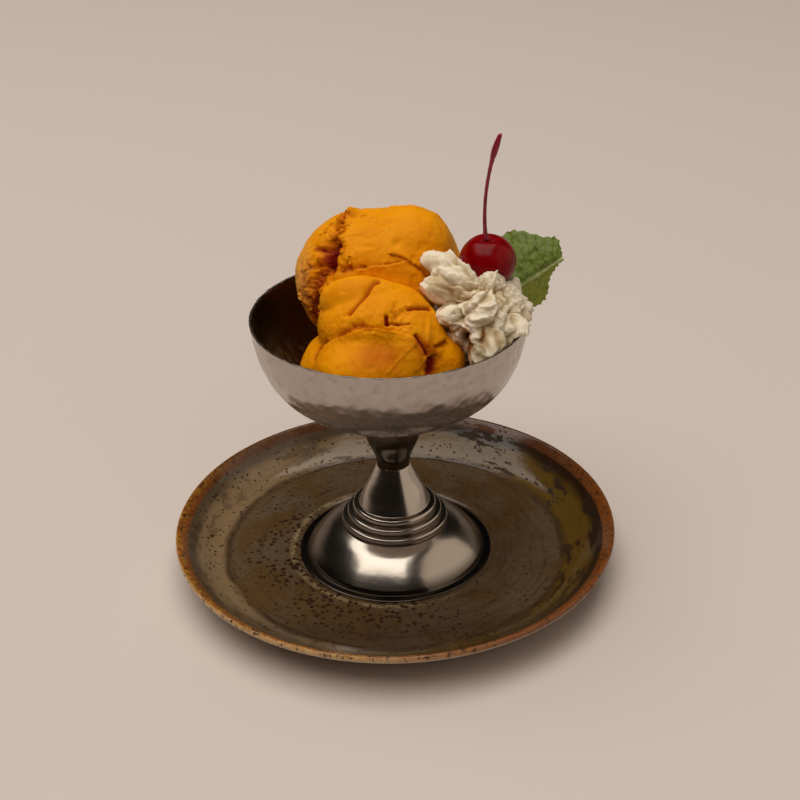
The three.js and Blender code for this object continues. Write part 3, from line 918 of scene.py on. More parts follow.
def hammer_tree() -> Tree:
    """Make a tree that planishes the outside of a surface with shallow round marks, from one height up.

    Returns:
        The tree.
    """
    tree, (shape, size, depth, low, high, finish) = open_tree(
        "planished with a hammer",
        ("Mark size", "NodeSocketFloat", 3.4 * MM),
        ("Mark depth", "NodeSocketFloat", 0.06 * MM),
        ("Lowest", "NodeSocketFloat", 0.0),
        ("Highest", "NodeSocketFloat", 1.0),
    )
    place = add_node(tree, "GeometryNodeInputPosition", None, 0)
    normal = add_node(tree, "GeometryNodeInputNormal", None, 0)
    scale = add_node(tree, "ShaderNodeMath", {0: 1.0, 1: size}, 0, operation="DIVIDE")
    marks = {"Vector": place, "Scale": scale, "Smoothness": 0.35, "Randomness": 0.85}
    away = add_node(tree, "ShaderNodeTexVoronoi", marks, "Distance", feature="SMOOTH_F1")
    far = add_node(tree, "ShaderNodeMath", {0: away, 1: 2.0}, 0, operation="POWER")
    dish = add_node(tree, "ShaderNodeMath", {0: far, 1: 0.9}, 0, operation="SUBTRACT")
    height = add_node(tree, "ShaderNodeSeparateXYZ", {"Vector": place}, 2)
    outward = add_node(tree, "ShaderNodeVectorMath", {0: normal, 1: place}, "Value", operation="DOT_PRODUCT")
    share = overlap(tree, depth, (height, low, high), (outward, -2 * MM, 2 * MM))
    lift = add_node(tree, "ShaderNodeMath", {0: dish, 1: share}, 0, operation="MULTIPLY")
    offset = add_node(tree, "ShaderNodeVectorMath", {0: normal, "Scale": lift}, 0, operation="SCALE")
    moved = add_node(tree, "GeometryNodeSetPosition", {"Geometry": shape, "Offset": offset}, 0)
    return close_tree(tree, finish, moved)


def crumb_tree() -> Tree:
    """Make a tree that scatters broken crumbs over a surface, where its crumbly attribute is high.

    Returns:
        The tree.
    """
    tree, (shape, crowd, small, large, seed, finish) = open_tree(
        "crumbs torn loose",
        ("Crumbs per square metre", "NodeSocketFloat", 400000.0),
        ("Smallest", "NodeSocketFloat", 0.4 * MM),
        ("Largest", "NodeSocketFloat", 1.1 * MM),
        ("Seed", "NodeSocketInt", SEED),
    )
    crumbly = add_node(tree, "GeometryNodeInputNamedAttribute", {"Name": "crumbly"}, "Attribute", data_type="FLOAT")
    strewn = {"Mesh": shape, "Distance Min": 0.7 * MM, "Density Max": crowd, "Density Factor": crumbly, "Seed": seed}
    kind = "GeometryNodeDistributePointsOnFaces"
    points = add_node(tree, kind, strewn, "Points", distribute_method="POISSON")
    ball = add_node(tree, "GeometryNodeMeshIcoSphere", {"Radius": 1.0, "Subdivisions": 3}, "Mesh")
    place = add_node(tree, "GeometryNodeInputPosition", None, 0)
    jog = add_node(tree, "ShaderNodeTexNoise", {"Vector": place, "Scale": 1.6, "Detail": 2.0}, "Color")
    centred = add_node(tree, "ShaderNodeVectorMath", {0: jog, 1: (0.5, 0.5, 0.5)}, 0, operation="SUBTRACT")
    bumped = add_node(tree, "ShaderNodeVectorMath", {0: centred, "Scale": 1.5}, 0, operation="SCALE")
    crumb = add_node(tree, "GeometryNodeSetPosition", {"Geometry": ball, "Offset": bumped}, 0)
    soft = add_node(tree, "GeometryNodeSetShadeSmooth", {"Geometry": crumb}, 0)
    size, spin = (
        add_node(tree, "FunctionNodeRandomValue", {0: low, 1: high, "Seed": seed}, 0, data_type="FLOAT_VECTOR")
        for low, high in ((small, large), ((0.0, 0.0, 0.0), (math.tau, math.tau, math.tau)))
    )
    strewn = {"Points": points, "Instance": soft, "Rotation": spin, "Scale": size}
    placed = add_node(tree, "GeometryNodeInstanceOnPoints", strewn, 0)
    both = add_node(tree, "GeometryNodeJoinGeometry", {0: placed})
    tree.links.new(shape, both.inputs[0])
    return close_tree(tree, finish, both.outputs[0])


@dataclass
class LobedBody:
    """A soft body seen from a centre: lobes that melt together, marks cut in them, and a frozen or whipped skin."""

    centre: Direction
    lobes: tuple[Lobe, ...]
    marks: tuple[Mark, ...]
    fillet: float
    seam_width: float
    seam_depth: float
    girth: float
    flaking: float = 0.0

    def reach(self, way: np.ndarray) -> tuple[np.ndarray, np.ndarray]:
        """Find the outside of the lobes along directions.

        Args:
            way: Unit directions from the centre.

        Returns:
            The distance, and how close each direction is to a seam between two lobes, from 0 to 1.
        """
        exits = []
        for lobe in self.lobes:
            r = np.array(lobe.radii)
            o = (np.array(self.centre) - np.array(lobe.centre)) / r
            s = way / r
            a = (s * s).sum(1)
            b = s @ o
            root = b * b - a * (o @ o - 1)
            far = (-b + np.sqrt(np.maximum(root, 0))) / a
            exits.append(np.where(root > 0, np.maximum(far, 0), 0))
        table = np.array(exits)
        top = table.max(0)
        total = np.exp((table - top) / self.fillet).sum(0)
        second = np.sort(table, axis=0)[-2]
        seam = np.exp(-(((top - second) / self.seam_width) ** 2))
        return top + self.fillet * np.log(total), seam

    def skin(self, points: np.ndarray) -> np.ndarray:
        """Return the fine relief of the skin in mm, for places in mm."""
        return 0.36 * layered(points, 8.0, 2) + 0.13 * layered(points, 1.7, 3, SEED + 5)

    def radius(self, way: np.ndarray) -> tuple[np.ndarray, dict[str, np.ndarray]]:
        """Find the finished surface along directions.

        Args:
            way: Unit directions from the centre.

        Returns:
            The distance, and the painted shade and crumbly values.
        """
        out, seam = self.reach(way)
        at = np.array(self.centre) + way * out[:, None]
        flake = np.clip(noise(at, 2.9, SEED + 12) * 3 - 1.3, 0, 1)
        out = out + self.skin(at) - self.seam_depth * seam - self.flaking * flake
        # Painted shade: seams between lobes, grooves, the foot of each lip and the dips of torn patches are painted
        # darker
        painted_shade = 0.6 * self.seam_depth * seam
        crumbly = np.zeros(len(way))
        for mark in self.marks:
            away, side = self.distance_to(way, mark.chain)
            away = away * self.girth
            line = away * (1 + 0.25 * noise(at, 2.4, SEED + 31))
            if mark.relief is Relief.LIP:
                signed = line * side
                rise = np.where(signed > 0, np.exp(-signed / (2.2 * mark.width)), 0)
                drop = np.where(signed <= 0, np.exp(-np.abs(signed) / mark.width), 0)
                out = out + mark.depth * (0.7 * rise - 0.6 * drop)
                painted_shade = np.maximum(painted_shade, mark.painted_shade * drop)
            else:
                near = np.exp(-((line / mark.width) ** 2))
                out = out - mark.depth * near
                painted_shade = np.maximum(painted_shade, mark.painted_shade * near)
            if mark.crumble:
                zone = np.exp(-((away / (mark.width * 1.5)) ** 2))
                torn = np.zeros(len(way))
                seen = zone > 0.03
                torn[seen] = 0.55 * lumps(at[seen], 1.5, SEED + 20) + 0.7 * layered(at[seen], 2.2, 3, SEED + 24)
                out = out + mark.crumble * zone * torn
                crumbly = np.maximum(crumbly, zone * min(mark.crumble, 1.0))
                painted_shade = painted_shade + 0.25 * zone * np.clip(-torn, 0, 1)
        painted_shade = np.clip(painted_shade, 0, 1)
        return out, {"painted_shade": painted_shade, "crumbly": crumbly**1.5 * (1 - painted_shade) * (noise(at, 3.0, SEED + 33) > -0.1)}

    def distance_to(self, way: np.ndarray, chain: tuple[Direction, ...]) -> tuple[np.ndarray, np.ndarray]:
        """Measure how far directions are from a chain.

        Args:
            way: Unit directions.
            chain: The chain's directions.

        Returns:
            The distance on the unit ball, and 1 on the chain's left or -1 on its right.
        """
        best = np.full(len(way), 9.0)
        side = np.ones(len(way))
        nodes = [np.array(d) / np.linalg.norm(d) for d in chain]
        if len(nodes) == 1:
            return np.linalg.norm(way - nodes[0], axis=1), side
        for p, q in zip(nodes[:-1], nodes[1:]):
            line = q - p
            along = np.clip((way - p) @ line / (line @ line), 0, 1)
            away = np.linalg.norm(way - p - along[:, None] * line, axis=1)
            left = np.sign(np.cross(line, way - p) @ (p + q))
            closer = away < best
            best = np.where(closer, away, best)
            side = np.where(closer, left, side)
        return best, side

    def chart(self) -> np.ndarray:
        """Measure the surface on a grid, for look_up().

        Returns:
            Its distances, by latitude and longitude.
        """
        rows, columns = CHART
        up = ((np.arange(rows) + 0.5) / rows - 0.5) * math.pi
        around = ((np.arange(columns) + 0.5) / columns - 0.5) * math.tau
        lat, lon = np.meshgrid(up, around, indexing="ij")
        way = np.stack([np.cos(lat) * np.cos(lon), np.cos(lat) * np.sin(lon), np.sin(lat)], -1).reshape(-1, 3)
        return self.radius(way)[0].reshape(rows, columns)


def look_up(chart: np.ndarray, way: np.ndarray) -> np.ndarray:
    """Read a body's chart between its grid points.

    Args:
        chart: The distances that chart() returns.
        way: Unit directions.

    Returns:
        One distance a direction.
    """
    rows, columns = chart.shape
    v = (np.arcsin(np.clip(way[:, 2], -1, 1)) / math.pi + 0.5) * rows - 0.5
    u = (np.arctan2(way[:, 1], way[:, 0]) / math.tau + 0.5) * columns - 0.5
    v0, u0 = np.floor(v), np.floor(u)
    fv, fu = v - v0, u - u0
    low, high = (np.clip(v0 + k, 0, rows - 1).astype(int) for k in (0, 1))
    west, east = ((u0 + k).astype(int) % columns for k in (0, 1))
    lower = chart[low, west] * (1 - fu) + chart[low, east] * fu
    upper = chart[high, west] * (1 - fu) + chart[high, east] * fu
    return lower * (1 - fv) + upper * fv


def held_back(
    start: Direction, way: np.ndarray, out: np.ndarray, hub: Direction, chart: np.ndarray, gap: float
) -> np.ndarray:
    """Shorten distances so that a body stops before another one.

    Args:
        start: The body's centre.
        way: Unit directions from it.
        out: Distances along them.
        hub: The other body's centre.
        chart: The other body's chart.
        gap: The gap to leave, in mm.

    Returns:
        The new distances.
    """
    steps = 48
    limit = out.copy()
    for k in range(steps, 0, -1):
        t = out * k / steps
        p = np.array(start) + way * t[:, None] - np.array(hub)
        far = np.maximum(np.linalg.norm(p, axis=1), 1e-6)
        inside = far < look_up(chart, p / far[:, None]) + gap
        limit = np.where(inside, np.minimum(limit, t * (1 - 0.5 / k)), limit)
    return limit


@dataclass
class Bowl:
    """The coupe's bowl: a thin steel cup, hammered on the outside."""

    rim_r: float = 47.4
    rim_z: float = 99.66
    wall: float = 1.1
    mark_size: float = 3.6
    mark_depth: float = 0.34
    marks_from: float = 60.0
    marks_full: float = 72.0
    facets: int = 400
    outside: Profile = field(
        default_factory=lambda: [
            (11.2, NECK_TOP), (22.6, 64.5), (33.0, 70.2), (40.4, 77.2), (45.2, 87.0), (47.4, 99.26)
        ]
    )

    def outer_line(self, count: int = 60) -> Profile:
        """Return the outside line, from the neck up to the rim."""
        return smooth_line(self.outside, count)

    def inner_line(self, wall: float, count: int = 60) -> Profile:
        """Move the outside line inwards.

        Args:
            wall: How far, in mm.
            count: How many steps to take.

        Returns:
            The line, from the bottom up.
        """
        p = np.array(self.outer_line(count))
        run = np.gradient(p, axis=0)
        run /= np.linalg.norm(run, axis=1, keepdims=True)
        return [(a - r[1] * wall, b + r[0] * wall) for (a, b), r in zip(p, run)]

    def profile(self) -> Profile:
        """Draw the whole section.

        Returns:
            Its points, from the seat round the lip to the inside's middle.
        """
        inner = [p for p in self.inner_line(self.wall) if p[0] > 12.5]
        floor = inner[0][1] - 1.0
        lip = []
        for k in range(1, 8):
            a = math.pi * k / 8
            lip.append((self.rim_r - self.wall / 2 * (1 - math.cos(a)), self.rim_z - 0.4 + 0.4 * math.sin(a)))
        seat = [(0.0, NECK_TOP), (5.6, NECK_TOP)]
        bottom = [(9.0, floor - 0.2), (4.5, floor - 0.5), (0.0, floor - 0.5)]
        return seat + self.outer_line() + lip + inner[::-1] + bottom

    def build(self, turning: Tree, hammer: Tree, steel: Material) -> None:
        """Turn the bowl, hammer its outside and dress it.

        Args:
            turning: The turning tree.
            hammer: The hammering tree.
            steel: The bowl's material.
        """
        bowl = turn("coupe_bowl_hammered", self.profile(), self.facets, turning, steel)
        add_modifier(
            bowl,
            hammer,
            {
                "Mark size": self.mark_size * MM,
                "Mark depth": self.mark_depth * MM,
                "Lowest": self.marks_from * MM,
                "Highest": self.marks_full * MM,
                "Material": steel,
            },
        )
        settle_modifiers(bowl)
        # Painted shade: the inside surface of the bowl is marked for a darker colour
        inner = np.array(self.inner_line(self.wall * 0.6))
        dark = []
        for v in bowl.data.vertices:
            r = math.hypot(v.co.x, v.co.y) / MM
            z = v.co.z / MM
            limit = np.interp(z, inner[:, 1], inner[:, 0])
            dark.append(1.0 if r < limit and z < self.rim_z - 0.6 and z > 59.5 else 0.0)
        stored = bowl.data.attributes.new("inside", "FLOAT", "POINT")
        stored.data.foreach_set("value", np.array(dark, np.float32))
        finish_piece(bowl, "coupe_bowl")


@dataclass
class Stand:
    """The coupe's neck and foot, turned on one axis."""

    neck: Profile = field(default_factory=lambda: [(5.8, 40.2), (6.5, 44.4), (9.4, 51.2), (11.2, NECK_TOP)])
    foot_r: float = 35.0
    foot_z: float = 4.4
    ring_count: int = 3
    ring_r: float = 19.2
    ring_z: float = 18.3
    ring_step_r: float = 2.05
    ring_step_z: float = 2.6
    neck_z: float = 40.2
    neck_facets: int = 96
    foot_facets: int = 160

    def foot_profile(self) -> Profile:
        """Draw the foot's section: flange, dome, three rounded rings and the cone.

        Returns:
            Its points, from the middle underneath to the neck.
        """
        dome = smooth_line([(31.6, 6.6), (27.8, 10.9), (23.6, 14.7), (19.7, 17.0)], 36)
        rings: Profile = [(19.7, 17.0)]
        for i in range(self.ring_count):
            r = self.ring_r - i * self.ring_step_r
            z = self.ring_z + i * self.ring_step_z
            rings += [(r - 0.75, z - 1.15), (r - 0.05, z - 0.45), (r, z + 0.1), (r - 0.55, z + 1.1)]
        tail = self.ring_z + self.ring_count * self.ring_step_z - 1.2
        rings.append((12.9, tail))
        cone = smooth_line([(12.9, tail), (11.0, 29.2), (8.5, 34.2), (5.8, self.neck_z)], 30)
        edge = [
            (0.0, self.foot_z), (self.foot_r - 0.2, self.foot_z), (self.foot_r, self.foot_z + 0.12),
            (self.foot_r, self.foot_z + 0.45), (self.foot_r - 0.08, self.foot_z + 0.56),
            (self.foot_r - 0.25, self.foot_z + 0.62), (self.foot_r - 1.4, self.foot_z + 0.7),
            (self.foot_r - 2.6, self.foot_z + 0.8), (self.foot_r - 2.66, self.foot_z + 0.82),
            (self.foot_r - 2.7, self.foot_z + 0.88), (self.foot_r - 3.15, self.foot_z + 1.75),
        ]
        collar = [(5.5, self.neck_z), (0.0, self.neck_z)]
        return edge + dome + smooth_line(rings, 60)[1:] + cone[1:] + collar

    def build(self, turning: Tree, neck: Material, foot: Material) -> None:
        """Turn the neck and the foot and dress them.

        Args:
            turning: The turning tree.
            neck: The neck's material.
            foot: The foot's material.
        """
        side = smooth_line(self.neck, 40)
        section = [(0.0, self.neck_z), (5.4, self.neck_z), *side, (11.0, NECK_TOP), (0.0, NECK_TOP)]
        piece = turn("coupe_neck_turned", section, self.neck_facets, turning, neck)
        finish_piece(settle_modifiers(piece), "coupe_neck")
        piece = turn("coupe_foot_turned", self.foot_profile(), self.foot_facets, turning, foot)
        finish_piece(settle_modifiers(piece), "coupe_foot")


@dataclass
class Saucer:
    """The glazed saucer."""

    radius: float = 79.5
    rim_z: float = 16.2
    foot_r: float = 47.0
    floor_r: float = 61.0
    floor_z: float = 5.0
    well_r: float = 35.9
    well_z: float = 4.4
    facets: int = 288

    def profile(self) -> Profile:
        """Draw the section.

        Returns:
            Its points, from the middle underneath round the rim to the middle above.
        """
        under = smooth_line(
            [
                (self.foot_r + 2.6, 0.8), (self.floor_r + 1.5, 2.8), (self.radius - 8, 8.2),
                (self.radius - 0.6, 13.7),
            ],
            24,
        )
        rim = smooth_line(
            [
                (self.radius - 0.35, 13.9), (self.radius, 14.6), (self.radius, 15.4),
                (self.radius - 0.4, 16.1), (self.radius - 0.9, 16.15), (self.radius - 1.5, 16.0),
            ],
            10,
        )
        inside = smooth_line(
            [
                (self.radius - 1.5, self.rim_z - 0.2), (self.radius - 3.4, 14.4), (self.radius - 7.3, 11.0),
                (self.floor_r + 5.5, 6.9), (self.floor_r, self.floor_z),
            ],
            36,
        )
        floor = smooth_line(
            [(self.floor_r, self.floor_z), (54.0, self.floor_z), (45.0, self.floor_z), (38.2, self.floor_z)], 12
        )
        well = [(37.2, 4.96), (36.6, 4.75), (self.well_r, self.well_z + 0.05), (self.well_r - 0.6, self.well_z)]
        return [
            (0.0, 0.0), (self.foot_r - 0.4, 0.0), (self.foot_r + 0.3, 0.05), *under, *rim, *inside[1:],
            *floor[1:], *well, (20.0, self.well_z), (0.0, self.well_z),
        ]

    def build(self, turning: Tree, glaze: Material) -> None:
        """Turn the saucer and glaze it.

        Args:
            turning: The turning tree.
            glaze: Its material.
        """
        saucer = settle_modifiers(turn("saucer_glazed", self.profile(), self.facets, turning, glaze))
        points = read_points(saucer)
        ripple = 0.05 * layered(points, 9.0, 2, SEED + 50)
        top = (points[:, 2] > 4.9) & (np.hypot(points[:, 0], points[:, 1]) > 37)
        points[:, 2] += np.where(top, ripple, 0)
        write_points(saucer, points)
        finish_piece(saucer, "saucer")


@dataclass
class Scoops:
    """The two scoops of mango ice cream."""

    crumbs_per_m2: float = 260000.0
    smallest_crumb: float = 0.35
    largest_crumb: float = 1.15
    back: LobedBody = field(
        default_factory=lambda: LobedBody(
            centre=(-3.2, 17, 106),
            lobes=(
                Lobe((-9.4, 17.5, 104.7), (22.3, 22.8, 23.0)),
                Lobe((1.5, 17.5, 105.4), (24.7, 22.6, 23.0)),
                Lobe((8.9, 15.5, 117.7), (12.8, 13.2, 12.2)),
                Lobe((0, 13, 88), (17, 19, 26)),
            ),
            marks=(
                Mark(((-0.42, 0.15, 0.9), (-0.47, -0.08, 0.88), (-0.57, -0.28, 0.78), (-0.62, -0.42, 0.66)),
                     2.0, 1.5, 1.0, 0.35),
                Mark(((-0.6, -0.46, 0.65), (-0.64, -0.53, 0.56), (-0.68, -0.61, 0.4)), 2.4, 5.0, 0.7, 1.0),
                Mark(((-0.62, -0.5, 0.6), (-0.67, -0.6, 0.43)), 3.4, 0.6, 0.0, 1.0),
                Mark(((-0.36, 0.08, 0.93), (-0.42, -0.04, 0.91)), 2.5, -3.2, 0.4, 0.0),
                Mark(((0.23, 0.29, 0.93), (0.42, 0.1, 0.9)), 1.6, -0.5, 0.3, 0.0),
                Mark(((0.7, 0.1, 0.7),), 1.7, -0.6, 0.3, 0.0),
                Mark(((-0.52, -0.56, 0.64), (-0.4, -0.7, 0.6)), 1.8, -0.6, 0.6, 0.0),
                Mark(((-0.73, -0.59, 0.35), (-0.8, -0.59, 0.12), (-0.81, -0.58, -0.1), (-0.81, -0.45, -0.38)),
                     1.9, 1.8, 1.0, 0.6),
                Mark(((-0.87, -0.41, 0.27), (-0.89, -0.44, 0.08), (-0.91, -0.39, -0.15)), 2.6, 0.3, 0.8, 0.25),
                Mark(((-0.8, -0.3, 0.52), (-0.68, -0.45, 0.58)), 1.1, 1.0, 0.4, 0.6),
                Mark(((-0.68, -0.12, 0.72),), 1.3, 1.1, 0.5, 0.5),
                Mark(((-0.37, 0.1, 0.92),), 1.0, 0.9, 0.0, 0.4),
                Mark(((-0.51, -0.22, 0.83),), 1.3, 1.0, 0.3, 0.5),
                Mark(((-0.62, -0.06, 0.78),), 1.0, 0.8, 0.3, 0.4),
                Mark(((0.32, -0.78, 0.53), (0.16, -0.84, 0.52), (-0.05, -0.85, 0.52), (-0.25, -0.85, 0.47)),
                     1.0, 0.7, 0.25, 0.4, Relief.LIP),
                Mark(((0.2, -0.74, 0.65), (0.29, -0.73, 0.62), (0.39, -0.73, 0.56), (0.48, -0.73, 0.48),
                      (0.58, -0.71, 0.39), (0.66, -0.71, 0.25)), 0.8, 1.1, 0.25, 0.5, Relief.LIP),
                Mark(((-0.5, -0.75, 0.42), (-0.36, -0.8, 0.46), (-0.22, -0.83, 0.5)), 1.2, 0.5, 0.5, 0.4),
                Mark(((0.1, -0.3, 0.95), (0.28, -0.25, 0.92)), 1.1, 0.4, 0.0, 0.12),
                Mark(((-0.18, -0.1, 0.98), (-0.08, -0.12, 0.99)), 0.9, -0.5, 0.4, 0.0),
                Mark(((0.32, -0.57, 0.75),), 1.6, 0.5, 0.0, 0.1),
            ),
            fillet=1.2,
            seam_width=0.5,
            seam_depth=0.0,
            girth=22.5,
            flaking=0.35,
        )
    )
    front: LobedBody = field(
        default_factory=lambda: LobedBody(
            centre=(-2, -15, 97),
            lobes=(
                Lobe((-4.0, -13.0, 101.0), (19.4, 16.5, 14.4)),
                Lobe((-9.9, -11.9, 110.5), (12.4, 6.0, 7.6)),
                Lobe((-7.4, -23.4, 90.6), (17.6, 16.8, 12.6)),
                Lobe((4.4, -17.0, 91.2), (16.1, 17.2, 17.1)),
                Lobe((14.9, -17.0, 89.5), (9.8, 12.2, 8.9)),
                Lobe((-17.1, -14.5, 85.9), (13.0, 15.5, 12.2)),
                Lobe((-1, -11, 80), (23, 22, 19)),
            ),
            marks=(
                Mark(((-0.05, 0.12, 0.99), (-0.24, -0.1, 0.96), (-0.35, -0.24, 0.91), (-0.48, -0.35, 0.81),
                      (-0.58, -0.41, 0.7)), 0.65, 1.3, 0.0, 0.55),
                Mark(((0.31, -0.57, 0.76), (0.36, -0.47, 0.81)), 3.4, 1.2, 0.5, 0.1),
                Mark(((0.07, -0.62, 0.79), (0.08, -0.72, 0.69)), 0.8, 1.3, 0.2, 1.0),
                Mark(((0.08, -0.72, 0.69), (0.33, -0.68, 0.65), (0.5, -0.62, 0.61)), 0.5, 0.8, 0.25, 0.5),
                Mark(((0.1, -0.8, 0.59), (-0.12, -0.77, 0.61), (-0.33, -0.72, 0.6), (-0.67, -0.62, 0.41),
                      (-0.91, -0.39, 0.12)), 1.0, 1.1, 0.0, 0.3, Relief.LIP),
                Mark(((0.5, -0.76, 0.42), (0.3, -0.79, 0.53), (0.1, -0.8, 0.59)), 0.9, 0.5, 0.0, 0.12, Relief.LIP),
                Mark(((-0.25, -0.76, 0.6), (-0.38, -0.67, 0.63), (-0.54, -0.62, 0.57), (-0.66, -0.6, 0.46),
                      (-0.76, -0.55, 0.38)), 1.3, 0.5, 0.45, 0.35),
                Mark(((0.53, -0.8, 0.28), (0.28, -0.95, 0.11), (0.04, -1.0, -0.04)), 0.45, -0.3),
                # Painted shade: these two marks cut nothing and only darken the lower front and the front right
                Mark(((-0.2, -0.96, 0.2), (0.1, -0.98, 0.15)), 5.0, 0.0, 0.0, 0.34),
                Mark(((0.62, -0.75, 0.25), (0.72, -0.66, 0.1)), 3.6, 0.0, 0.0, 0.42),
                Mark(((-0.18, -0.82, 0.54), (0.03, -0.88, 0.47), (0.17, -0.94, 0.31)), 0.45, -0.22),
                Mark(((0.6, -0.72, 0.4), (0.66, -0.73, 0.19), (0.68, -0.72, 0.06)), 0.7, 1.3, 0.3, 0.8),
                Mark(((0.71, -0.7, -0.06), (0.67, -0.73, -0.18)), 1.7, 2.0, 0.6, 1.0),
                Mark(((0.8, -0.56, 0.12), (0.95, -0.28, 0.06)), 0.7, 0.9, 0.0, 0.6),
                Mark(((0.78, -0.4, 0.46), (0.74, -0.57, 0.34), (0.68, -0.69, 0.2)), 0.6, -0.45),
                Mark(((-0.92, -0.36, 0.16), (-0.97, -0.26, -0.02), (-0.94, -0.31, -0.1)), 1.0, 1.2, 0.0, 0.5),
                Mark(((0.5, -0.36, 0.79), (0.61, -0.28, 0.74), (0.74, -0.14, 0.66), (0.83, -0.01, 0.56)),
                     0.8, 1.2, 0.2, 0.6),
            ),
            fillet=1.5,
            seam_width=0.45,
            seam_depth=0.0,
            girth=18.0,
            flaking=0.22,
        )
    )

    def build(self, bowl: Bowl, crumbs: Tree, ice: Material) -> None:
        """Shape both scoops, scatter the torn one's crumbs and dress them.

        Args:
            bowl: The bowl they lie in.
            crumbs: The crumb tree.
            ice: Their material.
        """
        way, faces = unit_ball(BALL_LEVEL)
        out, numbers = self.front.radius(way)
        points = within_bowl(np.array(self.front.centre) + way * out[:, None], bowl)
        numbers["painted_sheen"] = np.zeros(len(way))
        front = mesh_object("scoop_front_pressed", points, faces, ice, numbers)
        finish_piece(front, "scoop_front")
        out, numbers = self.back.radius(way)
        out = held_back(self.back.centre, way, out, self.front.centre, self.front.chart(), FOOD_GAP)
        points = within_bowl(np.array(self.back.centre) + way * out[:, None], bowl)
        # Painted sheen: the far left cap of the back scoop is painted paler
        numbers["painted_sheen"] = 0.4 * np.clip((-way[:, 0] - 0.82) / 0.18, 0, 1) * np.clip((0.25 - way[:, 1]) / 0.5, 0, 1)
        back = mesh_object("scoop_back_rolled", points, faces, ice, numbers)
        add_modifier(
            back,
            crumbs,
            {
                "Crumbs per square metre": self.crumbs_per_m2,
                "Smallest": self.smallest_crumb * MM,
                "Largest": self.largest_crumb * MM,
                "Seed": SEED,
                "Material": ice,
            },
        )
        finish_piece(settle_modifiers(back), "scoop_back")


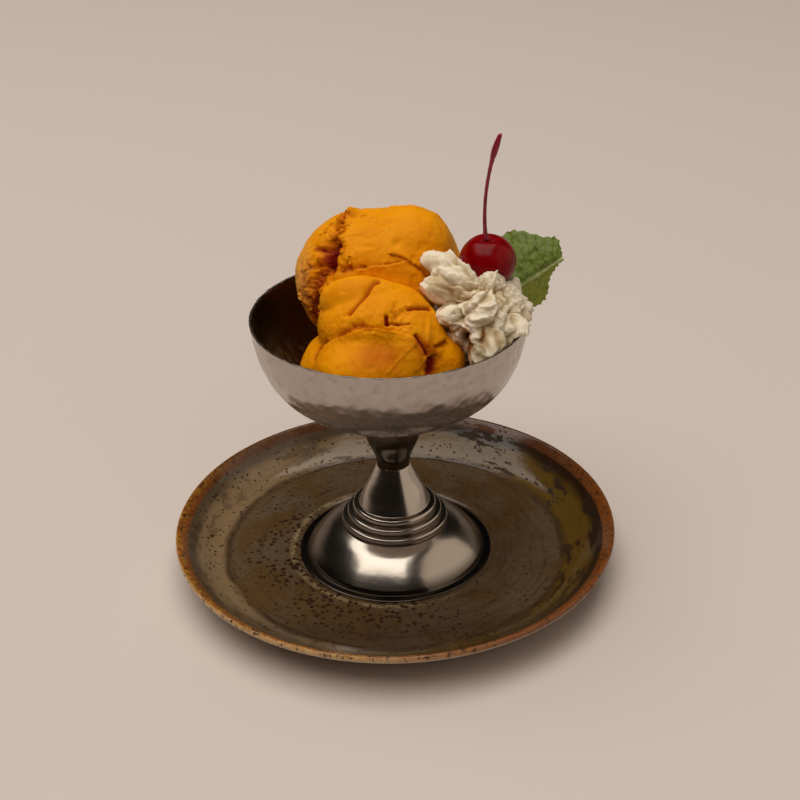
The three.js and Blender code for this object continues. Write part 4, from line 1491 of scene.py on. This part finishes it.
@dataclass
class Topping:
    """The whipped cream, the cherry with its stalk, and the mint leaf."""

    cherry_centre: Direction = (33.1, 0.0, 117.2)
    cherry_r: float = 9.5
    dimple: float = 1.9
    stalk_foot: Direction = (32.5, -0.1, 125.1)
    stalk_length: float = 35.8
    stalk_lean: float = 4.4
    cherry_facets: int = 112
    stalk_facets: int = 28
    swirls: tuple[tuple[Direction, int, float, float, float], ...] = (
        ((0.2, -0.25, 0.95), 10, 0.7, 2.4, 2.1),
        ((-0.78, -0.22, 0.58), 7, 0.9, 1.2, 0.55),
        ((0.9, -0.3, 0.1), 7, 0.8, 1.0, 0.6),
    )
    cream: LobedBody = field(
        default_factory=lambda: LobedBody(
            centre=(30, -8, 103),
            lobes=(
                Lobe((30, -7, 101), (15, 15, 14)),
                Lobe((18.1, -1.2, 118.3), (7.4, 4.6, 3.2)),
                Lobe((25.5, -1.5, 114), (8, 8, 7)),
                Lobe((19.0, -7.6, 111.8), (8.0, 6.2, 6.2)),
                Lobe((21.6, -14, 104.2), (6.8, 6.4, 5.4)),
                Lobe((30.6, -18, 105.4), (7.4, 7.4, 8.6)),
                Lobe((31.4, -24.4, 97.6), (7, 7.6, 7.4)),
                Lobe((39.1, -17.4, 98.6), (6.3, 7, 7.6)),
                Lobe((41.8, -5.5, 99.2), (6.3, 7.6, 7.1)),
                Lobe((33.6, -9.2, 112.4), (4.8, 4.4, 5.6)),
                Lobe((41.8, -1.5, 107.4), (2.6, 3.8, 3.6)),
                Lobe((31, 7.5, 102), (10.5, 9, 8)),
            ),
            marks=(
                Mark(((-0.74, -0.24, 0.63), (-0.64, -0.32, 0.7)), 2.6, 1.3, 0.0, 0.5),
                Mark(((-0.33, -0.3, 0.9), (-0.18, -0.37, 0.91), (0.0, -0.43, 0.9)), 2.4, 1.7, 0.0, 0.55),
                Mark(((0.66, -0.74, 0.12),), 2.6, 1.2, 0.0, 0.15),
                Mark(((-0.28, -0.66, 0.7), (-0.53, -0.55, 0.65), (-0.68, -0.43, 0.6)), 0.8, 1.3, 0.0, 0.25),
                Mark(((0.66, -0.62, 0.43), (0.28, -0.9, 0.33)), 0.8, 1.2, 0.0, 0.2),
                Mark(((0.0, -0.99, 0.06), (-0.03, -0.99, -0.2)), 0.9, 2.2, 0.0, 0.5),
                Mark(((0.22, -0.97, 0.0), (0.24, -0.96, -0.16)), 0.8, 1.8, 0.0, 0.4),
                Mark(((-0.26, -0.93, -0.2), (-0.3, -0.88, -0.36)), 1.7, 2.6, 0.0, 1.0),
                Mark(((0.26, -0.27, 0.93),), 0.6, 0.9, 0.0, 0.5),
            ),
            fillet=0.6,
            seam_width=0.6,
            seam_depth=0.6,
            girth=16.0,
        )
    )

    def fluting(self, way: np.ndarray) -> np.ndarray:
        """Raise the ridges that a star nozzle leaves as it swirls.

        Args:
            way: Directions from the cream's centre.

        Returns:
            The height of the ridges in mm, with sharp valleys between them.
        """
        total = np.zeros(len(way))
        for axis, count, twist, depth, reach in self.swirls:
            a = np.array(axis) / np.linalg.norm(axis)
            side = np.cross(a, (0, 1, 0))
            side /= np.linalg.norm(side)
            up = np.cross(a, side)
            slant = np.arccos(np.clip(way @ a / np.linalg.norm(way, axis=1), -1, 1))
            around = np.arctan2(way @ up, way @ side) + twist * slant
            ridge = np.abs(np.sin(count / 2 * around)) ** 0.75
            share = np.clip((reach - slant) / 0.35, 0, 1) * np.clip((slant - 0.08) / 0.3, 0, 1)
            total += depth * share * (ridge - 0.72)
        return total

    def build_cream(self, bowl: Bowl, scoops: Scoops, foam: Material) -> None:
        """Pipe the cream against the scoops and round the cherry.

        Args:
            bowl: The bowl it lies in.
            scoops: The scoops it leans on.
            foam: Its material.
        """
        way, faces = unit_ball(BALL_LEVEL)
        out, numbers = self.cream.radius(way)
        at = np.array(self.cream.centre) + way * out[:, None]
        warped = at + 1.5 * np.stack([noise(at, 4.5, SEED + n) for n in (60, 61, 62)], 1)
        frill = ridged(warped * (0.6, 1.0, 1.0), 4.6, 2, SEED + 70)
        flute = self.fluting(way + 0.05 * np.stack([noise(at, 4.0, SEED + n) for n in (63, 64, 65)], 1))
        ragged = (0.42 * layered(at, 1.3, 3, SEED + 73) + 0.16 * layered(at, 0.6, 2, SEED + 74)) * (0.3 + frill)
        out = out + 1.7 * (frill - 0.62) + flute + ragged
        # Painted shade: the valleys between the frills and the flutes are painted darker
        valley = np.clip(0.62 - frill, 0, 1) + 0.35 * np.clip(-flute - 0.1, 0, 1)
        numbers["painted_shade"] = np.clip(numbers["painted_shade"] + 0.8 * np.minimum(valley, 0.7), 0, 1)
        for scoop in (scoops.front, scoops.back):
            out = held_back(self.cream.centre, way, out, scoop.centre, scoop.chart(), FOOD_GAP)
        hub = np.array(self.cherry_centre) - np.array(self.cream.centre)
        along = way @ hub
        gap = along**2 - (hub @ hub - (self.cherry_r + 0.05) ** 2)
        entry = along - np.sqrt(np.maximum(gap, 0))
        out = np.where((gap > 0) & (along > 0), np.minimum(out, np.maximum(entry, 1)), out)
        points = within_bowl(np.array(self.cream.centre) + way * out[:, None], bowl)
        cream = mesh_object("whipped_cream_piped", points, faces, foam, numbers)
        finish_piece(cream, "whipped_cream")

    def build_cherry(self, turning: Tree, skin: Material, stalk: Material) -> None:
        """Turn the cherry, dent it, and set its stalk.

        Args:
            turning: The turning tree.
            skin: The cherry's material.
            stalk: The stalk's material.
        """
        top = self.cherry_r * 0.95
        section: Profile = [(0.0, -top)]
        steps = 56
        for i in range(1, steps):
            a = -math.pi / 2 + math.pi * i / steps
            r = math.cos(a) * self.cherry_r
            dent = self.dimple * math.exp(-((r / 3.1) ** 2)) * (1 if a > 0 else 0.25)
            section.append((r, math.sin(a) * self.cherry_r * 0.97 - math.copysign(dent, a)))
        section.append((0.0, top - self.dimple))
        cherry = settle_modifiers(turn("cherry_round", section, self.cherry_facets, turning, skin))
        points = read_points(cherry)
        points *= (1 + 0.012 * noise(points, 6.0, SEED + 80))[:, None]
        write_points(cherry, points + np.array(self.cherry_centre))
        finish_piece(cherry, "cherry")
        side = smooth_line(
            [(1.05, 0), (0.72, 2.2), (0.58, 9), (0.6, 22), (0.72, 26.5), (1.15, 30.6), (0.85, 34),
             (0.66, self.stalk_length - 0.3)], 80,
        )
        section = [(0.0, 0.0), *side, (0.4, self.stalk_length), (0.0, self.stalk_length)]
        stem = settle_modifiers(turn("cherry_stem_bent", section, self.stalk_facets, turning, stalk))
        points = read_points(stem)
        share = points[:, 2] / self.stalk_length
        angle = np.arctan2(points[:, 1], points[:, 0])
        points[:, :2] *= (1 + 0.05 * np.sin(5 * angle) + 0.05 * noise(points, 1.6, SEED + 81))[:, None]
        points[:, 0] += self.stalk_lean * (1.86 * share**2 - 0.86 * share)
        write_points(stem, points + np.array(self.stalk_foot))
        finish_piece(stem, "cherry_stem")


@dataclass
class Mint:
    """One folded mint leaf, serrated and quilted, with both faces the same sheet."""

    base: Direction = (38, 7, 100)
    along: Direction = (0.848, 0.254, 0.466)
    across: Direction = (-0.531, 0.415, 0.739)
    length: float = 25.6
    thick: float = 0.55
    fold: float = 0.95
    rows: int = 170
    columns: int = 72
    vein_step: float = 3.1
    tooth: float = 0.75
    broad: Profile = field(
        default_factory=lambda: [
            (0, 0), (0.2, 8.6), (7.6, 15.6), (14.8, 18.0), (19.0, 15.8), (24.2, 9.6), (27.8, 6.8), (26.8, 2.6),
            (25.6, 0.4),
        ]
    )
    narrow: Profile = field(
        default_factory=lambda: [
            (0, 0), (4.0, 7.4), (9.9, 10.9), (15.2, 10.8), (18.6, 6.4), (22.4, 3.0), (25.6, 0.4)
        ]
    )

    def sheet(self) -> tuple[np.ndarray, dict[str, np.ndarray], np.ndarray]:
        """Shape the sheet midway between the leaf's two faces.

        Returns:
            Its points in mm, the vein and painted backlit glow values of each, and its normals, all by column and
            row.
        """
        rib_dir = np.array(self.along) / np.linalg.norm(self.along)
        side_dir = np.array(self.across) - rib_dir * (np.array(self.across) @ rib_dir)
        side_dir /= np.linalg.norm(side_dir)
        up_dir = np.cross(rib_dir, side_dir)
        edges = {1: np.array(smooth_line(self.broad, self.rows)), -1: np.array(smooth_line(self.narrow, self.rows))}
        u = np.arange(self.rows + 1) / self.rows
        teeth = np.abs((u * 15) % 1 - 0.35) * 1.6 - 0.6
        points, vein, backlit_glow = [], [], []
        for j in range(self.columns + 1):
            v = 2 * j / self.columns - 1
            sign = 1 if v > 0 else -1 if v < 0 else 0
            far = abs(v)
            edge = edges[sign or 1].copy()
            swing = np.sin(np.pi * u) ** 0.4
            run = np.gradient(edge, axis=0)
            run /= np.maximum(np.linalg.norm(run, axis=1, keepdims=True), 1e-6)
            edge += np.stack([-run[:, 1], run[:, 0]], 1) * (self.tooth * teeth * swing)[:, None]
            s = u * self.length * (1 - far) + edge[:, 0] * far
            t = np.maximum(edge[:, 1], 0) * far
            flat = np.stack([s, t * (sign or 1), np.zeros(len(s))], 1)
            phase = (s - 0.75 * t + 0.5 + 1.1 * layered(flat, 4.5, 2, SEED + 91)) / self.vein_step
            rib = np.abs((phase % 1) - 0.5) * 2
            cushion = (1 - rib**3) * np.clip(t / 1.8, 0, 1)
            crinkle = layered(flat, 1.7, 3, SEED + 90)
            trough = 0.6 * np.exp(-((t / 0.8) ** 2))
            wave = 0.7 * np.sin(s * 0.36 + 1) * far
            lift = 0.3 * cushion + 0.26 * crinkle + wave - trough - 0.02 * t * t
            bend = self.fold * (1 - sign) / 2
            side = sign * t * math.cos(bend) + lift * math.sin(bend)
            rise = lift * math.cos(bend) - t * math.sin(bend)
            points.append(
                np.array(self.base) + s[:, None] * rib_dir + side[:, None] * side_dir + rise[:, None] * up_dir
            )
            midrib = np.exp(-((t / 0.5) ** 2))
            fine = np.clip((rib - 0.86) / 0.14, 0, 1) * 0.4 * np.clip(1.2 - far, 0, 1)
            vein.append(np.clip(0.8 * midrib + fine, 0, 1))
            # Painted light: the lower half gets the painted backlit glow
            backlit_glow.append(np.full(len(s), 0.85 if sign < 0 else 0.12))
        stacked = np.array(points)
        dv, du = np.gradient(stacked, axis=(0, 1))
        normal = np.cross(du, dv)
        normal /= np.maximum(np.linalg.norm(normal, axis=2, keepdims=True), 1e-9)
        return stacked, {"vein": np.array(vein), "backlit_glow": np.array(backlit_glow)}, normal

    def build(self, leaf: Material) -> None:
        """Make the leaf and dress it.

        Args:
            leaf: Its material.
        """
        middle, numbers, normal = self.sheet()
        wide, tall = middle.shape[:2]
        half = self.thick / 2
        points = np.concatenate([(middle + normal * half).reshape(-1, 3), (middle - normal * half).reshape(-1, 3)])
        size = wide * tall
        faces = []
        for j in range(wide - 1):
            for i in range(tall - 1):
                a, b, c, d = j * tall + i, j * tall + i + 1, (j + 1) * tall + i + 1, (j + 1) * tall + i
                faces.append((a, b, c, d))
                faces.append((a + size, d + size, c + size, b + size))
        ring = [j * tall for j in range(wide)] + [(wide - 1) * tall + i for i in range(1, tall)]
        ring += [j * tall + tall - 1 for j in range(wide - 2, -1, -1)] + [i for i in range(tall - 2, 0, -1)]
        for a, b in zip(ring, ring[1:] + ring[:1]):
            faces.append((a, b, b + size, a + size))
        stored = {key: np.tile(value.ravel(), 2) for key, value in numbers.items()}
        piece = mesh_object("mint_leaf_quilted", points, faces, leaf, stored)
        bm = bmesh.new()
        bm.from_mesh(piece.data)
        bmesh.ops.remove_doubles(bm, verts=bm.verts, dist=0.004 * MM)
        bmesh.ops.recalc_face_normals(bm, faces=bm.faces)
        bm.to_mesh(piece.data)
        bm.free()
        piece.data.polygons.foreach_set("use_smooth", [True] * len(piece.data.polygons))
        finish_piece(piece, "mint_leaf")


@dataclass
class Studio:
    """Paper floor, lights and camera."""

    camera_at: Direction = (0.0, -437.73, 309.48)
    focal_px: float = 1438.8
    frame_px: float = 800.0
    sensor: float = 36.0
    pitch: float = 29.128
    pan: float = 0.39
    roll: float = -1.453
    room: str = "#1B1815"
    glow: str = "#94877A"
    floor_half: float = 6000.0
    floor_gap: float = 0.05

    def build(self, paper: Material) -> None:
        """Lay the paper, hang the lights and set the camera.

        Args:
            paper: The floor's material.
        """
        self.floor(paper)
        self.lights()
        self.camera()

    def floor(self, paper: Material) -> None:
        half = self.floor_half
        corners = [(x, y, -self.floor_gap) for x, y in ((-half, -half), (half, -half), (half, half), (-half, half))]
        mesh_object("paper_floor", corners, [(0, 1, 2, 3)], paper)

    def lamp(
        self, name: str, at: Direction, aim: Direction, size: tuple[float, float], watts: float, colour: str,
        spin: float = 0.0, glow: Glow = Glow.ALL,
    ) -> None:
        """Hang one soft box.

        Args:
            name: Its name.
            at: Its place in mm.
            aim: The place it faces, in mm.
            size: Its width and height in mm.
            watts: Its power.
            colour: Its sRGB colour.
            spin: Its turn about the way it faces, in degrees.
            glow: What it acts on.
        """
        data = bpy.data.lights.new(name, "AREA")
        data.shape = "RECTANGLE"
        data.size, data.size_y = size[0] * MM, size[1] * MM
        data.energy = watts
        data.color = linear(colour)[:3]
        lamp = bpy.data.objects.new(name, data)
        back = np.array(at) - np.array(aim)
        back = back / np.linalg.norm(back)
        right = np.cross((0, 1, 0) if abs(back[2]) > 0.95 else (0, 0, 1), back)
        right /= np.linalg.norm(right)
        up = np.cross(back, right)
        cosine, sine = math.cos(math.radians(spin)), math.sin(math.radians(spin))
        right, up = right * cosine + up * sine, up * cosine - right * sine
        lamp.matrix_world = Matrix(
            [[right[n], up[n], back[n], at[n] * MM] for n in range(3)] + [[0, 0, 0, 1]]
        )
        lamp.visible_glossy = glow is not Glow.MATT
        lamp.visible_diffuse = glow is not Glow.SHINY
        bpy.context.scene.collection.objects.link(lamp)

    def lights(self) -> None:
        """Hang a broad box overhead, a panel to the right and a fill in front, with a faint glow at the back."""
        self.lamp("overhead box", (-600, -60, 2400), (-600, -60, 0), (2800, 3300), 84.5, "#FFFAF2", -11)
        self.lamp("front fill", (800, -1500, 1300), (0, 0, 100), (1500, 1500), 5.5, "#FFF6EA", 0.0, Glow.MATT)
        self.lamp("right panel", (1480, -465, 1250), (0, -465, 1250), (2630, 2440), 15.0, "#FFEEDC", 0.0, Glow.SHINY)
        world = bpy.data.worlds.new("studio room")
        world.use_nodes = True
        tree = world.node_tree
        tree.nodes.clear()
        way = add_node(tree, "ShaderNodeTexCoord", None, "Generated")
        _, y, z = add_node(tree, "ShaderNodeSeparateXYZ", {"Vector": way}).outputs
        colour = coats(tree, self.room, (self.glow, 1, (y, -0.3, 0.6), (z, 0.3, -0.05)))
        glow = add_node(tree, "ShaderNodeBackground", {"Color": colour}, 0)
        add_node(tree, "ShaderNodeOutputWorld", {"Surface": glow})
        bpy.context.scene.world = world
        bpy.context.scene.view_settings.view_transform = "Standard"

    def camera(self) -> None:
        """Set the camera at the photograph's place and angle."""
        pitch, pan, roll = (math.radians(a) for a in (self.pitch, self.pan, self.roll))
        turn_up = Matrix.Rotation(math.pi / 2 - pitch, 4, "X")
        turn_side = Matrix.Rotation(-pan, 4, "Z")
        tilt = Matrix.Rotation(roll, 4, "Z")
        data = bpy.data.cameras.new("camera")
        data.lens = self.focal_px / self.frame_px * self.sensor
        data.sensor_width = self.sensor
        data.clip_start, data.clip_end = 0.01, 50
        camera = bpy.data.objects.new("camera", data)
        camera.matrix_world = Matrix.Translation([c * MM for c in self.camera_at]) @ turn_side @ turn_up @ tilt
        bpy.context.scene.collection.objects.link(camera)
        bpy.context.scene.camera = camera


def turn(name: str, section: Profile, facets: int, tree: Tree, material: Material) -> bpy.types.Object:
    """Turn a section about the axis with the turning tree.

    Args:
        name: The object's name.
        section: Radius and height pairs in mm, from the axis round to the axis.
        facets: How many facets round.
        tree: The turning tree.
        material: The piece's material.

    Returns:
        The object, with the tree still live on it.
    """
    line = np.array([(r, 0.0, z) for r, z in section])
    made = mesh_object(name, line, [], material)
    add_modifier(made, tree, {"Rows": len(section), "Facets": facets, "Material": material})
    return made


def read_points(piece: bpy.types.Object) -> np.ndarray:
    """Return a mesh's points in mm."""
    flat = np.empty(len(piece.data.vertices) * 3)
    piece.data.vertices.foreach_get("co", flat)
    return flat.reshape(-1, 3) / MM


def write_points(piece: bpy.types.Object, points: np.ndarray) -> None:
    """Set a mesh's points, given in mm."""
    piece.data.vertices.foreach_set("co", (points * MM).ravel())
    piece.data.update()


def within_bowl(points: np.ndarray, bowl: Bowl) -> np.ndarray:
    """Press food against the inside of the bowl.

    Args:
        points: Places in mm.
        bowl: The bowl.

    Returns:
        The places, none of them beyond the wall below the rim.
    """
    line = np.array(bowl.inner_line(bowl.wall + 0.3))
    out = points.copy()
    out[:, 2] = np.maximum(out[:, 2], line[0, 1] + 1.0)
    limit = np.interp(out[:, 2], line[:, 1], line[:, 0])
    reach = np.hypot(out[:, 0], out[:, 1])
    pressed = (reach > limit) & (out[:, 2] < bowl.rim_z + 0.3)
    share = np.where(pressed, limit / np.maximum(reach, 1e-6), 1)
    out[:, :2] *= share[:, None]
    return out


def finish_piece(piece: bpy.types.Object, node: str) -> None:
    """Tie a piece to the part.

    Args:
        piece: The finished mesh.
        node: The solid it stands for.
    """
    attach(piece, "root")
    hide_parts(node)
    count = sum(len(p.vertices) - 2 for p in piece.data.polygons)
    log.info("%s: %d triangles", piece.name, count)


def main() -> None:
    """Build every piece in order, then the studio."""
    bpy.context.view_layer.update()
    turning = turning_tree()
    ice = MangoIceCream().build()
    steel = HammeredSteel().build()
    bowl = Bowl()
    Saucer().build(turning, ReactiveGlaze().build())
    Stand().build(turning, steel, SpunSteel().build())
    bowl.build(turning, hammer_tree(), steel)
    scoops = Scoops()
    scoops.build(bowl, crumb_tree(), ice)
    topping = Topping()
    topping.build_cream(bowl, scoops, WhippedCream().build())
    topping.build_cherry(turning, CherrySkin().build(), CherryStalk().build())
    Mint().build(MintLeaf().build())
    Studio().build(PalePaper().build())


if __name__ == "__main__":
    logging.basicConfig(level=logging.INFO, format="%(message)s")
    main()
